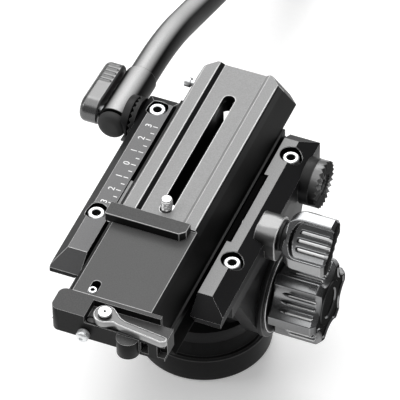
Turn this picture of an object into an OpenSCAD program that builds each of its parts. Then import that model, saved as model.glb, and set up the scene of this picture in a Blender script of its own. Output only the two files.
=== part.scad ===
// Fluid video head with a long sliding quick plate, lever block, two rosettes and a pan handle.
// Frame: origin at the mouth of the tripod thread, +Z up, +X towards the tilt knob, -Y towards the lens.

/* [Base] */
// Radius of the base disc
base_r = 37; // [34:0.5:45]
// Height of the straight rim of the base
rim_h = 17; // [16:0.5:24]
// Bevel on the rim's two edges
rim_bevel = 1.2; // [0.5:0.1:2.5]
// Radius of the neck where it leaves the rim
neck_foot_r = 34; // [32:0.5:34]
// Radius of the neck at its top
neck_r = 29; // [27:0.5:31]
// Height of the conical neck
neck_h = 9; // [6:0.5:14]
// Radius of the tripod thread, 3/8 inch
tripod_thread_r = 4.7625; // [3.175:0.0125:4.7625]
// Outer radius of the thread insert
insert_r = 8; // [7:0.5:10]
// Length of the thread insert
insert_len = 12; // [10:0.5:14]
// Radius of the pan post
post_r = 9; // [8:0.5:11]
// Radius of the thrust ring's middle
thrust_r = 19; // [18:0.5:22]
// Width of the thrust ring
thrust_w = 6; // [4:0.5:8]
// Thickness of the thrust ring
thrust_t = 3; // [2:0.5:4]
// Distance of the base screws from the axis
base_screw_pcd_r = 20; // [17:0.5:24]
// Shank radius of the base screws
base_screw_r = 2; // [1.5:0.25:2.5]
// Number of base screws
base_screw_count = 3; // [3:1:6]
// Height of the nut on the pan post
nut_h = 4; // [3:0.5:5]
// Wall of the nut on the pan post
nut_wall = 4; // [3:0.5:4.5]

/* [Pan unit] */
// Radius of the turntable
turntable_r = 33; // [31:0.5:36]
// Thickness of the turntable
turntable_h = 8; // [7:0.5:12]
// Height of the tilt axis above the base's underside
tilt_z = 61; // [60:0.5:80]
// How far the tilt axis lies ahead of the pan axis
tilt_lead = 8; // [0:0.5:10]
// Radius of the tilt drum
drum_r = 23; // [22:0.5:24]
// Length of the tilt drum
drum_len = 70; // [66:1:90]
// Radius of the drag cartridges
drag_r = 19; // [15:0.5:20]
// Thickness of a drag cartridge
drag_t = 14; // [8:0.5:16]
// Radius of the tilt shaft
shaft_r = 6; // [5:0.25:7]
// Outer radius of the balance spring sleeve
spring_r = 13; // [10:0.5:14]
// Width of the pedestal under the drum, across
pedestal_w = 56; // [48:1:60]
// Depth of the pedestal under the drum
pedestal_d = 40; // [36:1:44]
// Outer radius of the pan lock knob
pan_knob_r = 13; // [10:0.5:16]
// Length of the pan lock knob
pan_knob_len = 16; // [12:0.5:22]
// Number of flutes on the pan lock knob
pan_knob_flutes = 8; // [6:1:10]
// Plain length of the pan lock knob ahead of its flutes
flute_start = 3; // [2:0.5:5]
// Radius of the pan brake screw
brake_r = 3; // [2.5:0.25:3.5]

/* [Tilt unit] */
// Thickness of a cheek
cheek_t = 9; // [8.5:0.5:14]
// Wall between a rail screw and the cheek's inner face
cheek_wall = 3; // [2:0.25:4]
// Radius of a cheek round the tilt axis
cheek_hub_r = 26; // [24:0.5:28]
// Half length of a cheek's foot along the clamp
cheek_half_l = 50; // [40:1:54]
// Radius of the cheek's upper corners
cheek_corner_r = 6; // [4:0.5:8]
// Wall of the bronze bushes
bush_wall = 2; // [1.5:0.25:3]
// Outer radius of the right hub ring
hub_ring_r = 27; // [25:0.5:29]
// Thickness of the right hub ring
hub_ring_t = 3; // [2:0.5:8]
// Outer radius of the hub ring's step
hub_step_r = 24; // [22:0.5:25]
// Thickness of the hub ring's step
hub_step_t = 1.5; // [1:0.25:4]
// Outer radius of the left hub cap
hub_cap_r = 24; // [20:0.5:26]
// Thickness of the left hub cap
hub_cap_t = 7; // [5:0.5:9]

/* [Clamp] */
// Distance of the clamp's centre ahead of the pan axis
deck_lead = 10; // [4:0.5:14]
// Height of the clamp floor
deck_z = 116; // [112:0.5:130]
// Thickness of the clamp bed
bed_t = 8; // [7:0.5:10]
// Width over both rails
deck_w = 98; // [96:1:106]
// Width of the channel between the rails
channel_w = 64; // [64:0.5:66]
// Height of the rails above the clamp floor
rail_rise = 10; // [9.5:0.5:12]
// Width of the left rail's outer chamfer
rail_chamfer = 6; // [4:0.5:7]
// Width of the right rail's sloped outer face
right_slope_w = 9; // [8:0.5:10]
// Drop of the right rail's sloped outer face
right_slope_drop = 5; // [4:0.5:6]
// Length of the rails behind the clamp's centre
rail_rear = 56; // [54:0.5:60]
// Length of the left rail ahead of the clamp's centre
rail_front = 67; // [64:0.5:72]
// Length of the right rail ahead of the clamp's centre
right_rail_front = 72; // [68:0.5:76]
// Length of the rails' sloped noses
rail_nose = 11; // [8:0.5:14]
// Height that is left at the tip of a nose
nose_tip_h = 3; // [2:0.5:5]
// Length of the rails' sloped tails
rail_tail = 8; // [4:0.5:10]
// Drop of the rails' sloped tails
tail_drop = 5; // [3:0.5:6]
// Length of the notch in the right rail
notch_len = 52; // [46:1:56]
// Place of the notch's middle ahead of the clamp's centre
notch_front = 7; // [4:0.5:10]
// Depth of the notch in the right rail
notch_depth = 2.5; // [2:0.1:3]
// Spacing of the rail screws across
screw_span_x = 79.2; // [78:0.2:82]
// Spacing of the rail screws along the rails
screw_span_y = 82; // [78:0.5:86]
// How far the left screws lie behind the clamp's centre, and the right ones ahead
screw_stagger = 3.25; // [0:0.25:4]
// Radius of the counterbores
counterbore_r = 6; // [5.5:0.1:6.5]
// Depth of the counterbores
counterbore_depth = 8; // [6:0.5:8.5]
// Head radius of the rail screws
screw_head_r = 4.5; // [4:0.1:5]
// Head height of the rail screws
screw_head_h = 4; // [3:0.1:5]
// Shank radius of the rail screws
screw_r = 2.5; // [2:0.1:3]
// Length of the rail screws under the head
screw_len = 18; // [16:0.5:30]
// Size across flats of the rail screws' hexagon socket
hex_flats = 4; // [3:0.25:5]
// Length of the guide pad
pad_len = 32; // [24:1:40]
// Front end of the guide pad ahead of the clamp's centre
pad_front = 42; // [40:1:46]

/* [Quick plate] */
// Width of the plate's top
plate_top_w = 43; // [41:0.5:44]
// Height of the plate's top above the clamp floor
plate_rise = 28; // [26:0.5:32]
// Height of the sloped flanks
flank_h = 18; // [14:0.5:18]
// How far the flanks slope out
flank_out = 7.2; // [6:0.1:8]
// Width of the neck between the rails
neck_w = 60; // [58:0.5:60]
// Height of the dovetail foot
foot_h = 5; // [4:0.25:6]
// Width that the dovetail adds on each side
foot_out = 4.5; // [4:0.25:5.5]
// Length of the plate behind the clamp's centre
plate_rear = 72; // [66:1:84]
// Length of the plate ahead of the clamp's centre
plate_front = 108; // [100:1:120]
// Length of the dovetail foot behind the clamp's centre
foot_rear = 54; // [50:1:60]
// Distance of the plate's front step from the clamp's centre
step_front = 48; // [44:1:52]
// Drop of the front step
step_drop = 1.4; // [1:0.1:3]
// Width of the raised strips
strip_w = 7.5; // [6:0.25:9]
// Depth of the field between the strips
field_depth = 2.3; // [1:0.1:3]
// Width of the slope beside a strip
field_slope = 2.3; // [1:0.1:3]
// Width of the long slot
slot_w = 6.7; // [6.6:0.1:8]
// Rear end of the slot from the clamp's centre
slot_rear = 52; // [46:1:56]
// Width of the stop bar
bar_w = 44.5; // [38:0.5:48]
// Offset of the stop bar to the left
bar_shift = 3.7; // [0:0.1:5]
// Depth of the stop bar along the plate
bar_d = 9; // [7:0.5:12]
// Height of the stop bar
bar_h = 5.6; // [4:0.1:8]
// Bevel of the plate's top edges
plate_bevel = 0.8; // [0.4:0.1:1.2]
// Cut corner of the plate in plan
plate_corner = 6; // [2:0.5:8]
// Cut corner of the stop bar in plan
bar_corner = 3; // [1:0.5:5]
// Distance of the stop screw from the plate's rear end
stop_back = 16; // [10:0.5:24]
// Depth of the stop screw's axis below the plate's top
stop_down = 5; // [4:0.25:8]
// Length of the stop screw's head
stop_head_len = 3.3; // [2:0.1:5]
// Length of the stop screw's neck outside the plate
stop_neck_len = 1.2; // [0.5:0.1:2]

/* [Camera screw] */
// Radius of the camera screw's neck below its thread
camera_neck_r = 2.6; // [2.2:0.1:3]
// Thread radius of the camera screw, 1/4 inch
camera_thread_r = 3.175; // [3.175:0.0125:3.2]
// How far the camera screw stands above the field
camera_screw_rise = 6.5; // [4:0.25:9]
// Place of the camera screw ahead of the clamp's centre
camera_screw_front = 36; // [30:1:40]
// Width of the pocket under the slot
pocket_w = 15; // [13:0.5:18]
// Thickness of the plate between field and pocket
pocket_roof = 4; // [3:0.25:6]
// Radius of the screw's head in the pocket
camera_head_r = 6.5; // [5.5:0.25:7]
// Height of the screw's head in the pocket
camera_head_h = 5; // [4:0.25:7]
// Thickness of the sliding washer
washer_t = 1.5; // [1:0.1:2]

/* [Front block] */
// Width of the front block
block_w = 56; // [50:1:60]
// Depth of the front block along the plate
block_d = 15; // [14:0.5:24]
// Height of the front block
block_h = 16; // [12:0.5:18]
// Rounding of the block's left corners in plan
block_corner_r = 4; // [2:0.5:5]
// Depth of the ledge that the lever lies on
ledge_d = 12.5; // [11:0.5:15]
// Drop of the ledge
ledge_drop = 4.5; // [3:0.25:5.5]
// Distance of the ledge's left end from the middle
ledge_left = 9; // [8:0.5:12]
// Width of the lever's catch at the right end
catch_w = 7; // [5:0.5:9]
// Wall round the two recesses in the catch
catch_wall = 2; // [1.5:0.25:2.5]
// Width of the two recesses in the catch
catch_recess = 4; // [3:0.25:4.5]
// Radius of the round boss on the block's front
front_boss_r = 6; // [4:0.5:7]
// Place of the round boss to the right of the middle
front_boss_x = 15; // [10:0.5:18]
// Head radius of the thumb screw
thumb_r = 3.4; // [2.5:0.1:4]
// Head length of the thumb screw
thumb_len = 5; // [4:0.25:8]
// Place of the thumb screw to the left of the middle
thumb_x = 9; // [6:0.5:14]
// Shank radius of the small fixed screws
small_screw_r = 1.8; // [1.2:0.1:2]
// Head radius of the small fixed screws
small_head_r = 2.7; // [2.2:0.1:3.2]
// Length of the small fixed screws in their holes
small_screw_len = 7; // [5:0.25:8]
// Radius of the index pin
pin_r = 2.2; // [1.5:0.1:2.5]
// Length of the index pin
pin_len = 6; // [4:0.25:8]
// Travel of the index pin in its slot
pin_travel = 5; // [3:0.25:6]
// Place of the index pin to the left of the middle
pin_x = 12; // [8:0.5:14]
// Height of the index pin above the plate
pin_rise = 0.9; // [0.5:0.1:1.5]

/* [Lever] */
// Radius of the lever round its pivot
lever_hub_r = 6; // [5:0.25:8]
// Thickness of the lever
lever_t = 4.2; // [3:0.1:5]
// Half width of the lever's arm
lever_arm_r = 3.4; // [2.5:0.1:4]
// Distance of the lever's knee from its pivot
lever_knee = 15; // [12:0.5:18]
// Half width of the lever's tip
lever_tip_r = 3; // [2.2:0.1:3.3]
// Distance of the lever's tip ahead of its pivot
lever_tip_out = 5.4; // [4:0.2:7]
// Length of the lever from its pivot to its tip
lever_len = 37; // [32:0.5:42]
// Shank radius of the lever's pivot screw
pivot_r = 2.2; // [1.5:0.1:2.6]
// Head radius of the lever's pivot screw
pivot_head_r = 3.6; // [3.2:0.1:5]
// Head height of the lever's pivot screw
pivot_head_h = 1.6; // [1:0.1:2.5]

/* [Plate lock] */
// Place of the plate lock ahead of the clamp's centre
lock_front = 14; // [4:0.5:16]
// Height of the lock's axis above the clamp floor
lock_rise = 5; // [4.5:0.1:5.5]
// Width of the lock housing along the rail
lock_w = 21; // [18:0.5:28]
// How far the lock housing stands out from the rail
lock_out = 6; // [5:0.5:11]
// Height of the lock housing over the rail
lock_over = 2.5; // [1:0.25:4]
// How far the lock housing hangs below the clamp floor
lock_hang = 9; // [7:0.5:10]
// Rounding of the lock housing
lock_corner_r = 7; // [4:0.5:9]
// Radius of the lock screw
lock_screw_r = 2.5; // [2:0.1:2.5]
// Thickness of the clamp jaw
jaw_t = 3; // [2.5:0.1:3]
// Opening travel of the clamp jaw
jaw_travel = 1; // [0.5:0.1:1.1]
// Radius of the lock knob's collar
lock_hub_r = 8.5; // [7:0.5:10]
// Length of the lock knob's collar
lock_hub_len = 3; // [2.5:0.25:6]
// Length of the lock knob's wing over its two round ends
wing_span = 31; // [26:0.5:36]
// Thickness of the wing at its ends
wing_t = 15; // [12:0.5:18]
// Length of the lock knob's wing along its axis
wing_len = 25; // [20:0.5:30]
// Depth of the thumb scoops in the wing
scoop_depth = 3; // [2:0.25:4]
// Radius of the grip ridges
ridge_r = 1; // [0.6:0.1:1.2]
// Spacing of the grip ridges
ridge_pitch = 3.6; // [3:0.1:4.5]
// Grip ridges on each side of the wing's middle one
wing_ridges = 2; // [1:1:2]
// Turn of the lock knob's wing at rest
lock_turn = 45; // [0:5:90]

/* [Tilt knob] */
// Outer radius of the tilt knob
tilt_knob_r = 24; // [22:0.5:28]
// Length of the tilt knob
tilt_knob_len = 27; // [22:0.5:32]
// Number of lobes of the tilt knob
lobe_count = 6; // [5:1:7]
// Radius of the scoops between the lobes
lobe_scoop_r = 15; // [12:0.5:18]
// Depth of the scoops between the lobes
lobe_scoop_depth = 5; // [3:0.25:6]
// Bevel of the tilt knob's outer edge
knob_bevel = 2; // [1:0.25:3]
// Angle between the three grip ridges in a scoop
ridge_turn = 8; // [6:0.5:9]
// Thickness of the tilt knob's end wall
knob_end_wall = 5; // [4:0.5:8]
// Outer radius of the tilt knob's steel insert
knob_insert_r = 9; // [8:0.5:11]

/* [Rosettes] */
// Place of the left rosette's axis behind the clamp's centre
rosette_back = 44; // [41:0.5:46]
// Place of the right rosette's axis behind the clamp's centre
right_rosette_back = 36; // [32:0.5:46]
// Height of the rosette axis below the clamp floor
rosette_drop = 4; // [3.5:0.25:4.5]
// Outer radius of the rosettes
rosette_r = 13; // [12:0.5:14]
// Thickness of the ear that carries the right rosette
ear_t = 5.5; // [2:0.5:7]
// Thickness of the right rosette's disc
rosette_t = 4; // [3:0.25:5]
// Thickness of the left rosette's disc
left_rosette_t = 2; // [1.5:0.25:4]
// Height of the rosette teeth
tooth_h = 1.4; // [1:0.1:2]
// Number of rosette teeth
tooth_count = 24; // [18:2:30]
// Radius of the rosettes' inner step
rosette_step_r = 6.5; // [6:0.25:8]
// Radius of the rosettes' bolt hole
rosette_bore_r = 3; // [2.5:0.25:3.25]
// Depth of the bolt holes in the clamp bed
bolt_depth = 6; // [5:0.5:6.5]

/* [Handle] */
// Thickness of the handle's rosette hub
handle_hub_t = 4; // [3:0.5:6]
// Wall between the handle's collar and its rosette face
hub_web = 0.9; // [0.6:0.1:1.5]
// Outer radius of the handle's collar
collar_r = 9; // [8.8:0.1:14]
// Length of the collar ahead of the clamp bolt
collar_front = 6; // [5:0.5:18]
// Length of the collar behind the clamp bolt
collar_rear = 32; // [24:0.5:42]
// Radius of the handle tube
tube_r = 8; // [7:0.25:9]
// Depth of the tube in its collar
tube_seat = 20; // [14:0.5:22]
// Straight length of the tube between collar and bend
tube_first = 14; // [8:1:60]
// Bend radius of the tube
bend_r = 145; // [60:1:200]
// Bend angle of the tube
bend_angle = 17; // [5:1:25]
// Straight length of the tube between bend and grip
tube_second = 85; // [40:1:110]
// Downward slope of the collar at rest
handle_slope = 3; // [0:1:18]
// Length of the grip
grip_len = 110; // [80:1:130]
// Radius of the grip
grip_r = 14; // [12:0.5:16]
// Depth of the tube in the grip
grip_seat = 90; // [60:1:105]
// Number of finger rings on the grip
grip_rings = 9; // [5:1:12]
// Width of the grip's rings
grip_ring_w = 5; // [3:0.5:5.5]
// Plain length at both ends of the grip
grip_plain = 4; // [3:0.5:6]
// Depth of the grip's rings
grip_ring_depth = 1; // [0.5:0.1:1.5]
// Length of the cap at the grip's end
grip_cap_len = 6; // [4:0.5:10]
// Length of the plug at the collar's front
plug_len = 6; // [5:0.5:12]
// Length of the gap ring between plug and collar
plug_gap = 1.5; // [1:0.25:3]
// Length of the handle knob along its axis
handle_knob_len = 11; // [9:0.5:26]
// Radius of the handle knob's round end
handle_knob_r = 8; // [6.5:0.5:13]
// Reach of the handle knob's wing
handle_wing_reach = 28; // [18:0.5:32]
// Number of grip ridges on each face of the handle knob
handle_ridges = 5; // [3:1:5]
// Radius of the handle knob's wing tip
handle_wing_r = 6; // [5:0.25:8]

/* [Fits] */
// Running clearance of turning pieces on their shafts
run_gap = 0.05; // [0.02:0.01:0.1]
// Clearance of fixed fits
fix_gap = 0.02; // [0.01:0.01:0.05]
// Clearance of flat sliding faces
slide_gap = 0.15; // [0.1:0.05:0.3]
// Clearance between neighbouring bodies that only pass each other
pass_gap = 0.4; // [0.3:0.05:0.6]
// Clearance of the plate's dovetail in the rails
dovetail_gap = 0.3; // [0.2:0.05:0.5]

/* [Hidden] */
$fn = 64;
BLACK = "#1d1e20";
GREY = "#4a4c4f";
SILVER = "#a9abae";
STEEL = "#d8dadc";
BRONZE = "#a77f45";
RUBBER = "#161616";
// Extra length of a cut past a face
over = 1;

base_top = rim_h + neck_h;
pan_floor = base_top + pass_gap;
pan_top = pan_floor + turntable_h;
brake_z = pan_top + brake_r + over;
pan_knob_y = turntable_r + pass_gap;
post_top = brake_z + brake_r + over;
nut_r = post_r + nut_wall;
tilt_y = -tilt_lead;
deck_y = -deck_lead;

cheek_in = drum_len / 2 + pass_gap;
cheek_out = cheek_in + cheek_t;
bed_floor = deck_z - bed_t;
half_deck = deck_w / 2;
half_channel = channel_w / 2;
rail_top = deck_z + rail_rise;
rail_flat = half_deck - rail_chamfer;
screw_x = screw_span_x / 2;
screw_y = screw_span_y / 2;
screw_seat = rail_top - counterbore_depth;
screw_foot = screw_seat - screw_len - 2 * over;
head_x = min(cheek_in, screw_x - screw_r - cheek_wall);

half_neck = neck_w / 2;
half_top = plate_top_w / 2;
half_foot = half_neck + foot_out;
foot_z = deck_z + slide_gap;
plate_top = deck_z + plate_rise;
flank_foot = plate_top - flank_h;
front_top = plate_top - step_drop;
field_z = plate_top - field_depth;
half_field = half_top - strip_w;
pocket_z = field_z - pocket_roof;
bar_y = -step_front - bar_d;
stop_y = plate_rear - stop_back;
stop_z = plate_top - stop_down;
stop_x = half_top + flank_out * stop_down / flank_h;
washer_z = pocket_z - slide_gap - washer_t;

undercut_x = half_foot + dovetail_gap / sin(atan(foot_h / foot_out));
undercut_h = (undercut_x - half_channel) * foot_h / foot_out;

block_y = -plate_front - block_d;
block_z = front_top - block_h;
ledge_z = front_top - ledge_drop;
pivot_y = block_y + ledge_d - lever_hub_r - pass_gap;
lever_z = ledge_z + slide_gap;
pin_y = -plate_front + pin_r + 1;
pin_z = front_top + pin_rise - pin_len;
thumb_z = block_z + thumb_r + over;

lock_y = -lock_front;
jaw_y = -notch_front;
lock_z = deck_z + lock_rise;
lock_face = half_deck + lock_out;
jaw_in = half_neck + dovetail_gap;
jaw_out = jaw_in + jaw_t;
jaw_top = rail_top - over;
lock_tip_x = jaw_out - jaw_t / 8;
knob_face = lock_face + pass_gap;

hub_face = cheek_out + hub_ring_t + hub_step_t;
tilt_knob_x = hub_face + pass_gap;
tilt_knob_end = tilt_knob_x + tilt_knob_len;
stud_end = tilt_knob_end - knob_end_wall;

rosette_y = rosette_back;
rosette_z = deck_z - rosette_drop;
ear_face = half_deck + ear_t;
// Inner face of the left rosette, clear of the cheek
rosette_in = max(half_deck, cheek_out + fix_gap);
// Floor of the bolt holes, clear of the rail screws
bolt_in = max(half_deck - bolt_depth, screw_x + screw_r + pass_gap);
hub_x = rosette_in + left_rosette_t + tooth_h + pass_gap;
collar_x = hub_x + hub_web + collar_r;
handle_knob_x = collar_x + collar_r + pass_gap;
tube_start = collar_rear - tube_seat;
bend_start = collar_rear + tube_first;
// Overlap of the tube's straight runs with its bend, which is a hair slimmer
bend_lap = 1;
bend_slim = 0.1;

// Round bar along X from x0 to x1 through the point [y, z]
module bar_x(r, x0, x1, y, z) {
  translate([x0, y, z]) rotate([0, 90, 0]) cylinder(r = r, h = x1 - x0);
}

// Outline in X and Z carried along Y
module along_y(y0, y1) {
  translate([0, y1, 0]) rotate([90, 0, 0]) linear_extrude(y1 - y0) children();
}

// Outline in Y and Z carried along X
module along_x(x0, x1) {
  translate([x0, 0, 0]) rotate([90, 0, 90]) linear_extrude(x1 - x0) children();
}

// Two discs with the straight band that touches both
module belt(p0, r0, p1, r1) {
  a = atan2(p1[1] - p0[1], p1[0] - p0[0]);
  b = acos((r0 - r1) / norm(p1 - p0));
  translate(p0) circle(r = r0);
  translate(p1) circle(r = r1);
  polygon([
    p0 + r0 * [cos(a + b), sin(a + b)], p0 + r0 * [cos(a - b), sin(a - b)],
    p1 + r1 * [cos(a - b), sin(a - b)], p1 + r1 * [cos(a + b), sin(a + b)]
  ]);
}

// Rectangle with round corners, lower left corner at p
module round_rect(p, size, r) {
  translate(p + [r, 0]) square(size - [2 * r, 0]);
  translate(p + [0, r]) square(size - [0, 2 * r]);
  for (x = [r, size[0] - r], y = [r, size[1] - r])
    translate(p + [x, y]) circle(r = r);
}

// Everything that sits on the clamp
module on_deck() {
  translate([0, deck_y, 0]) children();
}

// Everything that turns round the tilt axis
module at_tilt() {
  translate([0, tilt_y, tilt_z]) children();
}

module base_disc() {
  color(BLACK) difference() {
    rotate_extrude() polygon([
      [0, 0], [base_r - rim_bevel, 0], [base_r, rim_bevel], [base_r, rim_h - rim_bevel],
      [base_r - rim_bevel, rim_h], [neck_foot_r, rim_h], [neck_r, base_top], [0, base_top]
    ]);
    translate([0, 0, -over]) cylinder(r = insert_r + fix_gap, h = insert_len + over);
    translate([0, 0, insert_len - over]) cylinder(r = post_r + fix_gap, h = base_top);
    at_base_screws() base_screw(fix_gap);
  }
}

// Ring of places for the base screws
module at_base_screws() {
  for (i = [1:base_screw_count]) rotate(i * 360 / base_screw_count)
    translate([base_screw_pcd_r, 0, 0]) children();
}

// Countersunk screw from below, grown by gap for its hole
module base_screw(gap) {
  translate([0, 0, -gap]) cylinder(r1 = 2 * base_screw_r + gap, r2 = base_screw_r + gap, h = base_screw_r);
  cylinder(r = base_screw_r + gap, h = insert_len - base_screw_r + gap);
}

module base_screws() {
  color(STEEL) at_base_screws() difference() {
    base_screw(0);
    translate([0, 0, -over]) cylinder(r = base_screw_r / 2, h = over + base_screw_r, $fn = 6);
  }
}

module thread_insert() {
  color(STEEL) difference() {
    cylinder(r = insert_r, h = insert_len);
    translate([0, 0, -over]) cylinder(r = tripod_thread_r, h = insert_len + 2 * over);
  }
}

module pan_post() {
  color(STEEL) translate([0, 0, insert_len]) cylinder(r = post_r, h = post_top - insert_len);
}

module thrust_ring() {
  color(BRONZE) translate([0, 0, base_top]) difference() {
    cylinder(r = thrust_r + thrust_w / 2, h = thrust_t);
    translate([0, 0, -over]) cylinder(r = thrust_r - thrust_w / 2, h = thrust_t + 2 * over);
  }
}

module post_nut() {
  color(STEEL) translate([0, 0, post_top]) cylinder(r = nut_r, h = nut_h, $fn = 6);
}

module pan_housing() {
  pedestal = [pedestal_w, pedestal_d];
  color(BLACK) difference() {
    union() {
      translate([0, 0, pan_floor]) cylinder(r = turntable_r, h = turntable_h);
      translate([0, 0, pan_top]) linear_extrude(tilt_z - pan_top)
        round_rect(-pedestal / 2, pedestal, pedestal_d / 4);
      bar_x(drum_r, -drum_len / 2, drum_len / 2, tilt_y, tilt_z);
    }
    translate([0, 0, base_top]) difference() {
      cylinder(r = thrust_r + thrust_w / 2 + run_gap, h = thrust_t + run_gap);
      translate([0, 0, -over]) cylinder(r = thrust_r - thrust_w / 2 - run_gap, h = thrust_t + 2 * over);
    }
    cylinder(r = post_r + run_gap, h = tilt_z);
    translate([0, 0, post_top - run_gap]) cylinder(r = nut_r + run_gap, h = tilt_z - post_top);
    bar_x(shaft_r + fix_gap, -drum_len, drum_len, tilt_y, tilt_z);
    for (side = [-1, 1]) drag_space(side, fix_gap);
    bar_x(spring_r + pass_gap, -drum_len / 2 + drag_t - over, drum_len / 2 - drag_t + over, tilt_y, tilt_z);
    brake_bar(brake_r + run_gap, post_r, pedestal_d);
  }
}

// Solid of one drag cartridge, grown by gap for its seat
module drag_space(side, gap) {
  x0 = drum_len / 2 - drag_t - gap;
  x1 = drum_len / 2 + (gap > 0 ? over : 0);
  mirror([side < 0 ? 1 : 0, 0, 0]) bar_x(drag_r + gap, x0, x1, tilt_y, tilt_z);
}

module drag_cartridge(side) {
  color(GREY) difference() {
    drag_space(side, 0);
    bar_x(shaft_r + fix_gap, -drum_len, drum_len, tilt_y, tilt_z);
  }
}

module drag_left() { drag_cartridge(-1); }
module drag_right() { drag_cartridge(1); }

module spring_sleeve() {
  reach = drum_len / 2 - drag_t - fix_gap;
  color(STEEL) difference() {
    bar_x(spring_r, -reach, reach, tilt_y, tilt_z);
    bar_x(shaft_r + fix_gap, -drum_len, drum_len, tilt_y, tilt_z);
  }
}

module tilt_shaft() {
  color(STEEL) bar_x(shaft_r, -cheek_out, stud_end - pass_gap, tilt_y, tilt_z);
}

// Round bar along Y at the height of the pan brake
module brake_bar(r, y0, y1) {
  translate([0, y0, brake_z]) rotate([-90, 0, 0]) cylinder(r = r, h = y1 - y0);
}

module brake_screw() {
  color(STEEL) brake_bar(brake_r, post_r + run_gap, pan_knob_y + pan_knob_len / 2);
}

module pan_knob() {
  grip_cut = pan_knob_r / 4;
  color(SILVER) difference() {
    brake_bar(pan_knob_r, pan_knob_y, pan_knob_y + pan_knob_len);
    brake_bar(brake_r + fix_gap, 0, pan_knob_y + pan_knob_len / 2);
    for (i = [1:pan_knob_flutes]) translate([0, 0, brake_z]) rotate([0, i * 360 / pan_knob_flutes, 0])
      translate([0, 0, pan_knob_r + grip_cut / 2 - brake_z])
        brake_bar(grip_cut, pan_knob_y + flute_start, 2 * turntable_r);
  }
}

// Outline of a cheek: a round hub with two arms that run up to the clamp bed
module cheek_outline() {
  corner_z = bed_floor - cheek_corner_r;
  hub = [tilt_y, tilt_z];
  rear = [deck_y + cheek_half_l - cheek_corner_r, corner_z];
  front = [deck_y - cheek_half_l + cheek_corner_r, corner_z];
  belt(hub, cheek_hub_r, rear, cheek_corner_r);
  belt(hub, cheek_hub_r, front, cheek_corner_r);
  polygon([hub, rear, front]);
  translate([front[0], corner_z]) square([rear[0] - front[0], cheek_corner_r]);
}

module cheek(side) {
  color(BLACK) mirror([side < 0 ? 1 : 0, 0, 0]) difference() {
    union() {
      along_x(cheek_in, cheek_out) cheek_outline();
      along_x(head_x, cheek_in + over) intersection() {
        cheek_outline();
        translate([-deck_w, screw_foot]) square([2 * deck_w, deck_z]);
      }
    }
    bar_x(shaft_r + bush_wall + fix_gap, 0, deck_w, tilt_y, tilt_z);
    mirror([side < 0 ? 1 : 0, 0, 0]) rail_screw_holes();
  }
}

module left_cheek() { cheek(-1); }
module right_cheek() { cheek(1); }

module bush(side) {
  color(BRONZE) mirror([side < 0 ? 1 : 0, 0, 0]) difference() {
    bar_x(shaft_r + bush_wall, cheek_in, cheek_out, tilt_y, tilt_z);
    bar_x(shaft_r + run_gap, 0, deck_w, tilt_y, tilt_z);
  }
}

module left_bush() { bush(-1); }
module right_bush() { bush(1); }

// Ring outside the right cheek, in two steps towards the tilt knob
module right_hub_ring() {
  color(BLACK) difference() {
    union() {
      bar_x(hub_ring_r, cheek_out, cheek_out + hub_ring_t, tilt_y, tilt_z);
      bar_x(hub_step_r, cheek_out, hub_face, tilt_y, tilt_z);
    }
    bar_x(shaft_r + run_gap, 0, deck_w, tilt_y, tilt_z);
  }
}

module left_hub_cap() {
  color(BLACK) translate([-cheek_out, tilt_y, tilt_z]) rotate([0, -90, 0]) rotate_extrude() polygon([
    [0, run_gap], [hub_cap_r, run_gap], [hub_cap_r, hub_cap_t - knob_bevel],
    [hub_cap_r - knob_bevel, hub_cap_t], [0, hub_cap_t]
  ]);
}

// Places of the two rail screws on one side, at the height of their seats
module at_rail_screws(side) {
  for (y = [-screw_y, screw_y])
    translate([side * screw_x, deck_y + y - side * screw_stagger, screw_seat]) children();
}

// Four vertical holes for the rail screws' shanks
module rail_screw_holes() {
  for (side = [-1, 1]) at_rail_screws(side)
    translate([0, 0, -screw_len - over]) cylinder(r = screw_r + fix_gap, h = screw_len + over);
}

module rail_screws() {
  color(STEEL) for (side = [-1, 1]) at_rail_screws(side) difference() {
    union() {
      cylinder(r = screw_head_r, h = screw_head_h);
      translate([0, 0, -screw_len]) cylinder(r = screw_r, h = screw_len);
    }
    translate([0, 0, screw_head_h / 3]) cylinder(d = hex_flats / cos(30), h = screw_head_h, $fn = 6);
  }
}

module clamp_bed() {
  color(BLACK) difference() {
    union() {
      on_deck() translate([-half_deck, -rail_front, bed_floor]) cube([deck_w, rail_front + rail_rear, bed_t]);
      on_deck() bar_x(rosette_r, half_deck, ear_face, right_rosette_back, rosette_z);
    }
    rail_screw_holes();
    for (side = [-1, 1]) mirror([side < 0 ? 1 : 0, 0, 0]) on_deck()
      bar_x(rosette_bore_r, bolt_in, deck_w,
        side < 0 ? rosette_y : right_rosette_back, rosette_z);
  }
}

// Right-hand section of a rail with its sloped outer face and dovetail undercut
module rail_outline(slope_w, slope_drop) {
  polygon([
    [half_channel, rail_top], [half_deck - slope_w, rail_top], [half_deck, rail_top - slope_drop],
    [half_deck, deck_z], [undercut_x, deck_z], [half_channel, deck_z + undercut_h]
  ]);
}

// Cuts that slope a rail's nose and tail
module rail_end_cuts(front) {
  tip = -front - rail_nose;
  along_x(0, deck_w) polygon([
    [-front, rail_top + over], [-front, rail_top], [tip, deck_z + nose_tip_h],
    [tip - over, deck_z + nose_tip_h], [tip - over, rail_top + over]
  ]);
  along_x(0, deck_w) polygon([
    [rail_rear - rail_tail, rail_top + over], [rail_rear - rail_tail, rail_top],
    [rail_rear, rail_top - tail_drop], [rail_rear + over, rail_top - tail_drop],
    [rail_rear + over, rail_top + over]
  ]);
}

// Counterbores and shank holes of one side's rail screws
module rail_seats(side) {
  at_rail_screws(side) {
    cylinder(r = counterbore_r, h = counterbore_depth + over);
    translate([0, 0, bed_floor - screw_seat]) cylinder(r = screw_r + fix_gap, h = rail_rise + bed_t);
  }
}

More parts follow.
